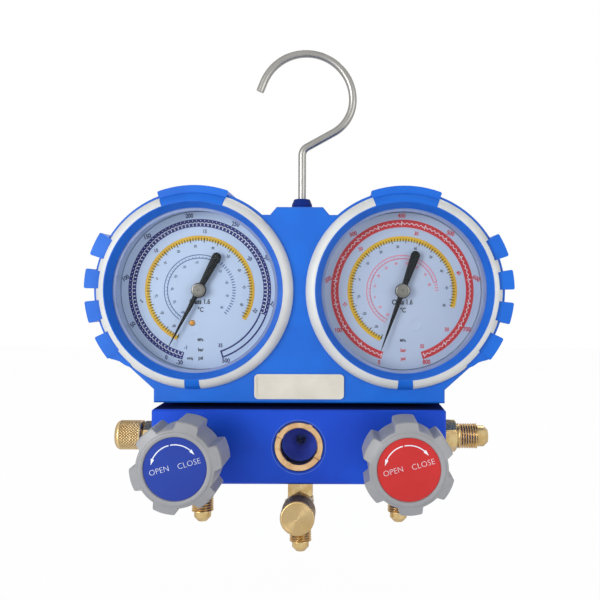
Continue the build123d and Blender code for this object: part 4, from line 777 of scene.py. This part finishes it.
class GAUGE_OT_dials(bpy.types.Operator):
    """Bands, ticks, numbers and words of both dials, their pointers and small fasteners"""
    bl_idname = "gauge.dials"
    bl_label = "Print the dials"

    def execute(self, context):
        props = context.scene.gauge_dial
        yellow = ink("yellow", (226, 176, 36), (214, 160, 30), (0.42, 0.5))
        grey = ink("grey", (58, 68, 98), (66, 76, 106))
        ochre = ink("ochre", (88, 82, 14), (78, 72, 12))
        dark = ink("dark", (24, 28, 46), (30, 34, 52))
        for side in SIDES:
            facts = DIALS[side]
            band, number, fine = (ink(f"{side}_{use}", colour, colour, (0.42, 0.52))
                                  for use, colour in zip(("band", "number", "fine"), facts["inks"]))
            place = front_frame(f"{side}_gauge_dial")
            grey_words = around(numbers(range(-30, 90, 10), 234, -23), props.yellow_in - 3.1, 1.9)
            inner = numbers(facts["inner"], facts["inner_zero"], facts["inner_step"])
            prints = (
                ("band", band_parts(props, facts), band),
                ("band_marks", band_marks(props, facts, side), MADE["white_ink"]),
                ("yellow_scale", [arc(props.yellow_in, props.yellow_out, *facts["yellow"])], yellow),
                ("yellow_marks", scale_marks(props, facts), ochre),
                ("fine_scale", fine_parts(props, facts), fine),
            )
            words = (
                ("numbers", outer_words(props, facts), number), ("small_numbers", grey_words, grey),
                ("fine_numbers", around(inner, props.fine_in - 2.0, 1.8), fine), ("words", CENTRE_WORDS, dark),
                ("units", facts["units"], dark if side == "low" else number),
            )
            for name, parts, made in prints:
                settle(print_piece(f"{side}_dial_{name}", parts, place), "manifold", "dial_white", made)
            for name, text, made in words:
                settle(lettering(f"{side}_dial_{name}", text, place, -0.03, 0.84), "manifold", "dial_white", made)
            self.pointer(side, facts["rest"])
            self.fasteners(side, place)
        return {"FINISHED"}

    def fasteners(self, side, place):
        """Domed cap on the pointer's hub, a pale ring that is a painted highlight at the lens's edge, and the dial's
        small screw or ring.
        """
        columns = 64
        axis = centre(f"{side}_pinion_arbor")
        crown = facing_front(axis[0], low_corner(f"{side}_pointer")[1], axis[2])
        rows = ((0, -1.4), (3.4, -1.4), (3.4, -0.15), (3.15, 0.0), (2.75, 0.0), (2.65, -0.08),
                (2.5, -0.08), (2.4, 0.0), (0.75, 0.0), (0.6, -0.3), (0, -0.3))
        cap = lathe(f"{side}_pointer_cap", rows, columns, crown)
        settle(cap, f"{side}_needle", "steel", MADE[f"{side}_hub"])
        # Painted highlight: a thin pale ring at the lens's edge
        rows = ((39.3, 0.02), (39.3, 0.09), (39.6, 0.09), (39.6, 0.02))
        rim = lathe(f"{side}_lens_edge", rows, 192, front_frame(f"{side}_gauge_lens"), ring=True)
        settle(rim, "manifold", "clear", MADE["pale"])
        if side == "low":
            spot, slot, rows = (-3.8, -16.6), "brass", ((0, 0.0), (1.5, 0.0), (1.5, 0.25), (1.2, 0.5), (0, 0.6))
            made = material("dial_screw_brass", linear(208, 150, 78), linear(184, 122, 54), (0.24, 0.36),
                            metallic=0.9, drift=400, grain=4000, depth=0.04, edge=BRASS_RIM_SHADE)
        else:
            spot, slot, made = (6.6, -16.9), "dial_white", MADE["dial_high"]
            rows = ((0, 0.0), (3.4, 0.0), (3.4, 0.08), (3.2, 0.12), (2.9, 0.12), (2.7, 0.04), (0, 0.04))
        shift = Matrix.Translation((spot[0] * MM, spot[1] * MM, 0))
        settle(lathe(f"{side}_dial_screw", rows, columns, place @ shift), "manifold", slot, made)

    def pointer(self, side, rest):
        """Flat pointer with bevelled edges along x. Its half width is the greatest of three: the hub's
        circle, a needle that narrows to its tip, and a tail that widens to a round end."""
        tip, tail, hub, end = 33.0, -21.4, 3.8, 2.35
        run = np.concatenate((
            tail + end * (1 - np.cos(np.linspace(0, pi / 2, 9))), np.linspace(tail + end, -hub, 9)[1:],
            hub * np.sin(np.linspace(-pi / 2, pi / 2, 25))[1:], np.linspace(hub, tip - 0.3, 12)[1:], [tip]))
        circle = np.sqrt(np.clip(hub ** 2 - run ** 2, 0, None))
        needle = np.where(run > 0, np.interp(run, (0, 30, tip), (1.45, 0.28, 0.0)), 0)
        paddle = np.where(run < 0, np.interp(run, (tail + end, -hub, 0), (end, 1.5, 1.4)), 0)
        dome = np.sqrt(np.clip(end ** 2 - (run - tail - end) ** 2, 0, None))
        half = np.maximum.reduce((circle, needle, np.where(run < tail + end, dome, paddle)))[:, None]
        share, lift = np.array([(-1, 0), (-1, 0.3), (-0.72, 0.5), (0.72, 0.5), (1, 0.3), (1, 0)]).T
        points = np.stack((run[:, None] + 0 * share, half * share, lift + 0 * half), axis=-1).reshape(-1, 3)
        axis = centre(f"{side}_pinion_arbor")
        way = (cos(radians(rest)), 0, sin(radians(rest)))
        place = basis((axis[0], high_corner(f"{side}_pointer")[1], axis[2]), way, (0, -1, 0))
        piece = put_mesh(f"{side}_needle_plate", points * MM, open_quads(len(run), len(share)), place)
        settle(piece, f"{side}_needle", "black_paint", MADE["black"], (f"{side}_pointer",))


# ---- Fittings and caps
PLAIN, HEXAGON, THREAD, KNURL = range(4)
# Thread radius, thread length, neck radius, nose length, tip radius and bore radius, mm
FLARES = {"quarter": (5.556, 10.4, 4.3, 5.2, 2.4, 1.9), "larger": (6.35, 10.4, 5.3, 5.6, 3.4, 2.9)}
HEX_LENGTH = 7.2
ROOT = -1.0             # start of a fitting inside its port, mm
ACROSS = 12.4           # across the flats of the small hexagons, mm


def straight(*points, steps=1, kind=PLAIN):
    """(radius, height, kind) rows of the straight lines that join points, each cut into steps."""
    share = np.linspace(0, 1, steps + 1)[:, None]
    points = np.array(points, dtype=float)[:, None]
    rows = np.concatenate([a * (1 - share) + b * share for a, b in zip(points, points[1:])])
    return np.column_stack((rows, np.full(len(rows), kind)))


def flare_rows(start, flare, base, length=None, nose=None):
    """Rows from a hexagon's face out to the flare's tip and back along the bore to base."""
    thread, own_length, neck, own_nose, tip, bore = FLARES[flare]
    length, nose = length or own_length, nose or own_nose
    end = start + length
    top = end + nose
    cone = top - (neck - tip)
    return [straight((thread - 0.7, start), (thread - 0.7, start + 0.7)),
            straight((thread, start + 0.9), (thread, end), steps=int(length * 10), kind=THREAD),
            straight((neck, end + 0.35), (neck, cone - 0.2)), straight((neck - 0.15, cone), (tip, top), steps=2),
            straight((bore, top), (bore, base))]


def hex_rows(start, end, across):
    """Rows of a hexagonal bar whose corners are cut by a cone at both ends."""
    corner = across / 3 ** 0.5
    inner = across / 2 - 0.2
    rise = (corner - inner) / 3 ** 0.5
    return [straight((inner, start), (corner, start + rise), steps=4, kind=HEXAGON),
            straight((corner, start + rise), (corner, end - rise), steps=2, kind=HEXAGON),
            straight((corner, end - rise), (inner, end), steps=4, kind=HEXAGON)]


def fitting_surface(name, rows, across, place, props):
    """Radius of each row: on a hexagon, the lesser of the flat's distance over the cosine of the
    angle from its middle and a cone; on a thread, the crest less the depth times a triangle wave of
    height over pitch less the angle's share of a turn; elsewhere the row's own."""
    rows = np.concatenate(rows)
    angle = np.arange(props.sides) * 2 * pi / props.sides
    base, height, kind = rows[:, 0:1], rows[:, 1:2], rows[:, 2:3]
    flat = across / 2 / np.cos((angle + pi / 6) % (pi / 3) - pi / 6)
    wave = triangle(height / props.pitch - angle / (2 * pi))
    runs = rows[rows[:, 2] == THREAD][:, 1]
    inside = np.minimum(height - runs.min(), runs.max() - height) / props.pitch
    thread = base - props.depth * (1 - wave) * smooth(inside * 1.5)
    radius = np.where(kind == HEXAGON, np.minimum(flat, base), np.where(kind == THREAD, thread, base))
    groove = np.where(kind == THREAD, (base - thread) / props.depth, 0 * flat)
    return round_surface(name, radius, height, place, ring=True, groove=groove)


class GAUGE_OT_fittings(bpy.types.Operator):
    """Threaded flare fittings and the charging tee"""
    bl_idname = "gauge.fittings"
    bl_label = "Cut the fittings"

    def execute(self, context):
        props = context.scene.gauge_fitting
        for node, flare, across in (("low_hose_fitting", "quarter", ACROSS), ("high_hose_fitting", "quarter", ACROSS),
                                    ("side_fitting_high", "larger", 14.3)):
            length, nose, bore = (FLARES[flare][k] for k in (1, 3, 5))
            rows = [straight((bore, ROOT), (across / 2 - 1, ROOT), (across / 2 - 1, 0)),
                    *hex_rows(0, HEX_LENGTH, across), *flare_rows(HEX_LENGTH, flare, ROOT)]
            whole = (HEX_LENGTH + length + nose) * MM
            x, y, z = centre(node)
            if node.startswith("side"):
                place = basis((high_corner(node)[0] - whole, y, z), (0, 1, 0), (1, 0, 0))
            else:
                place = basis((x, y, low_corner(node)[2] + whole), (1, 0, 0), (0, 0, -1))
            piece = fitting_surface(node.replace("fitting", "flare"), rows, across, place, props)
            settle(piece, "manifold", "brass", MADE["brass"], (node,))
        self.tee(props)
        return {"FINISHED"}

    def tee(self, props):
        """The tee's upright run and its forward arm, two closed surfaces in one mesh."""
        node, hexagon, start, barrel = "charging_tee", 9.8, 22.3, 6.6
        length, nose, bore = (FLARES["quarter"][k] for k in (1, 3, 5))
        x, y = centre(node)[0], centre("side_cap")[1]
        rows = [straight((bore, ROOT), (5.2, ROOT), (5.2, 0)), *hex_rows(0, hexagon, ACROSS),
                straight((barrel - 0.4, hexagon + 0.1), (barrel, hexagon + 0.5)),
                straight((barrel, hexagon + 0.5), (barrel, start - 0.4), steps=2),
                straight((barrel, start - 0.4), (barrel - 0.5, start)), *flare_rows(start, "quarter", ROOT)]
        mouth = low_corner(node)[2] + (start + length + nose) * MM
        run = fitting_surface("tee_run", rows, ACROSS, basis((x, y, mouth), (1, 0, 0), (0, 0, -1)), props)
        across, back, front = 14.2, 8.0, 14.0
        rows = [straight((bore, 0), (barrel, 0)), straight((barrel, 0.1), (barrel, back), steps=2),
                *hex_rows(back, front, across), *flare_rows(front, "quarter", 0, length=8.5, nose=3.2)]
        arm = fitting_surface("charging_tee_body", rows, across, facing_front(x, y, centre("tee_cap")[2]), props)
        work = bmesh.new()
        work.from_mesh(arm.data)
        work.from_mesh(run.data)
        work.to_mesh(arm.data)
        work.free()
        bpy.data.objects.remove(run)
        settle(arm, "manifold", "brass", MADE["brass"], (node,))


class GAUGE_OT_caps(bpy.types.Operator):
    """Knurled port caps"""
    bl_idname = "gauge.caps"
    bl_label = "Knurl the caps"

    def execute(self, context):
        props = context.scene.gauge_fitting
        side, tee = centre("side_cap"), centre("tee_cap")
        # Painted light and shade: the side cap takes a lighter copy of the brass colour and the tee cap a darker one
        self.cap("side_cap", 7.4, 2.6, basis((high_corner("side_cap")[0], side[1], side[2]), (0, -1, 0), (-1, 0, 0)),
                 (0, radians(90), 0), (1, 0, 0), (232, 210, 164), props)
        self.cap("tee_cap", 8.3, 0.9, facing_front(tee[0], high_corner("tee_cap")[1], tee[2]),
                 (radians(90), 0, 0), (0, 1, 0), (194, 170, 127), props)
        return {"FINISHED"}

    def cap(self, node, radius, corner, place, turn, way, colour, props):
        """Closed cup: where it is knurled, the radius is the root plus the lesser of two triangle
        waves that wind opposite ways, so that their crests cross in diamonds."""
        length, inner, wall, lead = 13.7, 5.61, 1.1, 1.55
        bend = np.linspace(0, pi / 2, 9)
        edge = np.column_stack((radius - corner * (1 - np.cos(bend)), length - corner * (1 - np.sin(bend)), 0 * bend))
        rows = np.concatenate((
            straight((0, length - wall), (inner, length - wall), (inner, 0.3)),
            straight((inner + 0.3, 0), (radius - 0.5, 0)), straight((radius, 0.5), (radius, 1.3)),
            straight((radius, 1.3), (radius, length - corner - 0.5), steps=84, kind=KNURL), edge,
            straight((radius - corner - 0.1, length), (0.4, length), steps=8),
            straight((0.2, length - 0.1), (0, length - 0.1))))
        columns = props.knurls * 6
        angle = np.arange(columns) / columns
        base, height, kind = rows[:, 0:1], rows[:, 1:2], rows[:, 2:3]
        one, other = (triangle(props.knurls * angle + hand * height / lead) for hand in (1, -1))
        diamonds = base - props.knurl_depth * (1 - np.minimum(one, other) * 2.4).clip(0, 1)
        deep = np.where(kind == KNURL, (base - diamonds) / props.knurl_depth, 0 * angle)
        radius = np.where(kind == KNURL, diamonds, base)
        piece = round_surface(node + "_knurled", radius, height, place, sharp=50, groove=deep)
        made = material(node + "_brass", linear(*colour), linear(*BRASS_SHADE), (0.24, 0.38), metallic=1.0,
                        grain=5200, depth=0.1, axis=tuple(centre(node)), turn=turn, edge=BRASS_RIM_SHADE,
                        groove=KNURL_GROOVE_SHADE, turned=way)
        settle(piece, node, "brass", made, (node,))


# ---- Collar, lug tails, and painted highlights and painted light at the sight glass
# (degrees, radius in mm) along a tail's inner and outer side, about the gauge's axis
TAIL_INNER = np.array([(218.8, 46.2), (223.0, 46.0), (229.6, 46.8), (230.6, 48.5)])
TAIL_OUTER = np.array([(218.8, 53.2), (219.6, 52.9), (221.6, 51.6), (223.8, 50.5), (227.5, 49.95), (230.6, 49.0)])
TAIL_FRONT, TAIL_BACK = 22.0, -11.0         # forward of the row's origin, mm
# (radius, height) rows of the thin rings at the sight glass, painted highlights on its edges and painted light on its
# cone, forward of the block's front, mm
SIGHT_EDGES = {
    "rim": ((13.05, -0.03), (13.05, 0.04), (13.3, 0.04), (13.3, 0.0)),
    "mouth": ((8.45, -10.8), (8.4, -10.7), (8.75, -10.2), (8.9, -10.3)),
    "hole": ((2.75, -20.8), (2.65, -20.6), (2.95, -20.05), (3.1, -20.15)),
    "cone": ((2.7, -20.7), (2.65, -20.75), (8.85, -10.0), (8.85, -9.95)),
}


class GAUGE_OT_collar(bpy.types.Operator):
    """Collar round the hook, tails of the lowest grip lugs, and painted highlights and painted light at the sight
    glass
    """
    bl_idname = "gauge.collar"
    bl_label = "Mould the hook's collar"

    def execute(self, context):
        axis = centre("hook_bushing")
        turn = np.linspace(0, pi / 2, 6)
        bend = np.column_stack((3.5 + 0.9 * np.sin(turn[::-1]), 2.5 + 0.9 * np.cos(turn[::-1])))
        rows = np.concatenate(([(2.12, 0.0), (5.3, 0.0), (5.2, 0.6)], bend, [(2.4, 3.4), (2.12, 3.1)]))
        place = Matrix.Translation((axis[0], axis[1], high_corner("hook_bushing")[2] - 0.6 * MM))
        settle(lathe("hook_collar", rows, 64, place, ring=True), "manifold", "dark_blue_plastic", MADE["bush"])
        self.bright_edges()
        for side in SIDES:
            self.lug_tail(side)
        return {"FINISHED"}

    def lug_tail(self, side):
        """Tail that carries the lowest lug down over the trim. Its inner and outer radius run over the
        angle through given points, and its front falls with the radius as the trim's round does."""
        angle = np.linspace(TAIL_INNER[0, 0], TAIL_INNER[-1, 0], 37)[:, None]
        inner, outer = (np.interp(angle, *run.T) for run in (TAIL_INNER, TAIL_OUTER))
        share = np.concatenate(([0], np.linspace(0, 1, 13), [1]))
        radius = inner + share * (outer - inner)
        front = TAIL_FRONT + np.interp(radius, (46.2, 48.4), (2.0, 0.0))
        height = np.where(np.abs(share - 0.5) > 0.49, front - 0.35, front)
        height[:, [0, -1]] = TAIL_BACK
        if side == "high":
            angle, radius, height = 180 - angle[::-1], radius[::-1], height[::-1]
        points = polar(radius, np.radians(angle), height).reshape(*radius.shape, 3)
        ends = [np.repeat(row.mean(axis=0)[None], len(share), axis=0)[None] for row in (points[0], points[-1])]
        points = np.concatenate((ends[0], points, ends[1]))
        x, _, z = centre(f"{side}_gauge_dial")
        piece = put_mesh(f"{side}_lug_tail", points.reshape(-1, 3) * MM, open_quads(len(points), len(share)),
                         facing_front(x, 0, z))
        settle(piece, "manifold", "blue_plastic", MADE["blue"])

    def bright_edges(self):
        """Painted highlights at the sight glass: thin bright rings round its bore, its cone's mouth and its cross
        hole, and painted light on the cone between the last two."""
        x, _, z = centre("sight_glass_ring")
        front = facing_front(x, low_corner("manifold_block")[1], z)
        # Painted highlight on the rings and painted light on the cone: both colours are lighter than the block's own
        bright = material("bright_edge", linear(96, 132, 226), linear(80, 116, 214), (0.25, 0.35), metallic=0.4,
                          drift=200, grain=3000, depth=0.04)
        inside = material("cone_blue", linear(66, 94, 232), linear(52, 78, 210), (0.3, 0.4), drift=120, grain=3000,
                          depth=0.04)
        for name, rows in SIGHT_EDGES.items():
            piece = lathe(f"sight_{name}_edge", rows, 96, front, ring=True)
            settle(piece, "manifold", "anodised_blue", inside if name == "cone" else bright)


# ---- Hand wheels
class GAUGE_OT_wheels(bpy.types.Operator):
    """Lobed hand wheels and the print on their labels"""
    bl_idname = "gauge.wheels"
    bl_label = "Mould the hand wheels"

    def execute(self, context):
        props = context.scene.gauge_wheel
        for side, turn in zip(SIDES, (15.0, 33.0)):
            self.wheel(side, turn, props)
            self.label(side, props)
        return {"FINISHED"}

    def wheel(self, side, turn, props):
        """Radius over the angle: the valley plus the lobes' height times a smooth step of the
        distance from a lobe's edge. The front falls in a cone from the rim, so a valley's wall ends
        higher than a lobe's."""
        columns, half_lobe, step, shoulder, lip = 288, 18.6, 5.2, 1.6, 0.8
        pitch = 360 / props.lobes
        angle = np.arange(columns) * 360 / columns
        off = np.abs((angle - turn + pitch / 2) % pitch - pitch / 2)
        outline = props.valley + (props.crest - props.valley) * smooth((half_lobe - off) / step)
        top, rim, label = props.length, props.rim, props.label
        lean = np.tan(radians(0.5))
        front = outline - lean * (top - shoulder)
        reach = (props.crest - lean * (top - shoulder)) - rim
        edge_z = top - shoulder * np.clip((front - rim) / reach, 0, 1) ** 1.15
        share = np.linspace(0, 1, 13)[:, None]
        wall_z = share * (edge_z - props.round)
        wall_r = outline - lean * wall_z
        bend = np.linspace(0, pi / 2, 7)[1:, None]
        round_r = wall_r[-1] - props.round * (1 - np.cos(bend))
        round_z = wall_z[-1] + props.round * np.sin(bend)
        fall = np.linspace(0, 1, 9)[1:, None]
        face_r = round_r[-1] + (rim + 0.25 - round_r[-1]) * fall
        face_z = round_z[-1] + (top - 0.5 - round_z[-1]) * fall
        flat = np.ones((1, columns))
        inner_r, inner_z = (np.array(run)[:, None] * flat for run in (
            (0, 7, 7, 14.6, 14.6, 14.9), (-5.0, -5.0, 14, 14, 0.3, 0)))
        rim_r = np.array((rim, rim - 0.3, rim - 0.8, label + 0.75, label + 0.3, label + 0.05, label + 0.05, 0))
        rim_z = top - np.array((0.15, 0.03, 0, 0, 0.2, lip, lip + 1.0, lip + 1.0))
        radius = np.concatenate((inner_r, wall_r[:1] - 0.3, wall_r, round_r, face_r, rim_r[:, None] * flat))
        height = np.concatenate((inner_z, wall_z[:1], wall_z + 0.3 * (1 - share), round_z, face_z,
                                 rim_z[:, None] * flat))
        x, _, z = centre(f"{side}_knob_label")
        place = facing_front(x, low_corner(f"{side}_knob")[1] + top * MM, z)
        piece = round_surface(f"{side}_hand_knob", radius, height, place, sharp=40)
        settle(piece, f"{side}_hand_wheel", "grey_plastic", MADE["grey"], (f"{side}_knob",))

    def label(self, side, props):
        """Two arrows round the top, each an arc and a triangle at its outer end, and two words."""
        place = front_frame(f"{side}_knob_label")
        radius, half, head = props.label * 0.765, 0.22, 0.72
        parts = [arc(radius - half, radius + half, 156, 105, 41), arc(radius - half, radius + half, 101, 50, 41)]
        for ends in ((156.0, 170.5), (50.0, 36.5)):
            angles, width = np.array([ends]), np.array([[head, 0.02]])
            parts.append(ribbons(at_angle(radius - width, angles), at_angle(radius + width, angles)))
        words = [("OPEN", -6.7, -0.8, 3.45, 16), ("CLOSE", 6.1, 2.3, 3.5, 16)]
        for piece in (print_piece(f"{side}_label_arrows", parts, place),
                      lettering(f"{side}_label_words", words, place, 0.024)):
            settle(piece, f"{side}_hand_wheel", "label_blue" if side == "low" else "label_red", MADE["white_ink"])


# ---- Panel and run
OPERATORS = (GAUGE_OT_stage, GAUGE_OT_materials, GAUGE_OT_dials, GAUGE_OT_fittings, GAUGE_OT_caps, GAUGE_OT_collar,
             GAUGE_OT_wheels)
PROPS = {"gauge_stage": StageProps, "gauge_housing": HousingProps, "gauge_dial": DialProps,
         "gauge_fitting": FittingProps, "gauge_wheel": WheelProps}


class GAUGE_PT_panel(bpy.types.Panel):
    """Buttons for each group of pieces"""
    bl_idname = "GAUGE_PT_panel"
    bl_label = "Manifold gauge"
    bl_space_type = "VIEW_3D"
    bl_region_type = "UI"
    bl_category = "Gauge"

    def draw(self, context):
        for operator in OPERATORS:
            self.layout.operator(operator.bl_idname)


def register():
    for kind in (*PROPS.values(), *OPERATORS, GAUGE_PT_panel):
        bpy.utils.register_class(kind)
    for name, kind in PROPS.items():
        setattr(bpy.types.Scene, name, bpy.props.PointerProperty(type=kind))


def unregister():
    for name in PROPS:
        delattr(bpy.types.Scene, name)
    for kind in reversed((*PROPS.values(), *OPERATORS, GAUGE_PT_panel)):
        bpy.utils.unregister_class(kind)


def main():
    register()
    for operator in OPERATORS:
        family, name = operator.bl_idname.split(".")
        getattr(getattr(bpy.ops, family), name)()


if __name__ == "__main__":
    main()
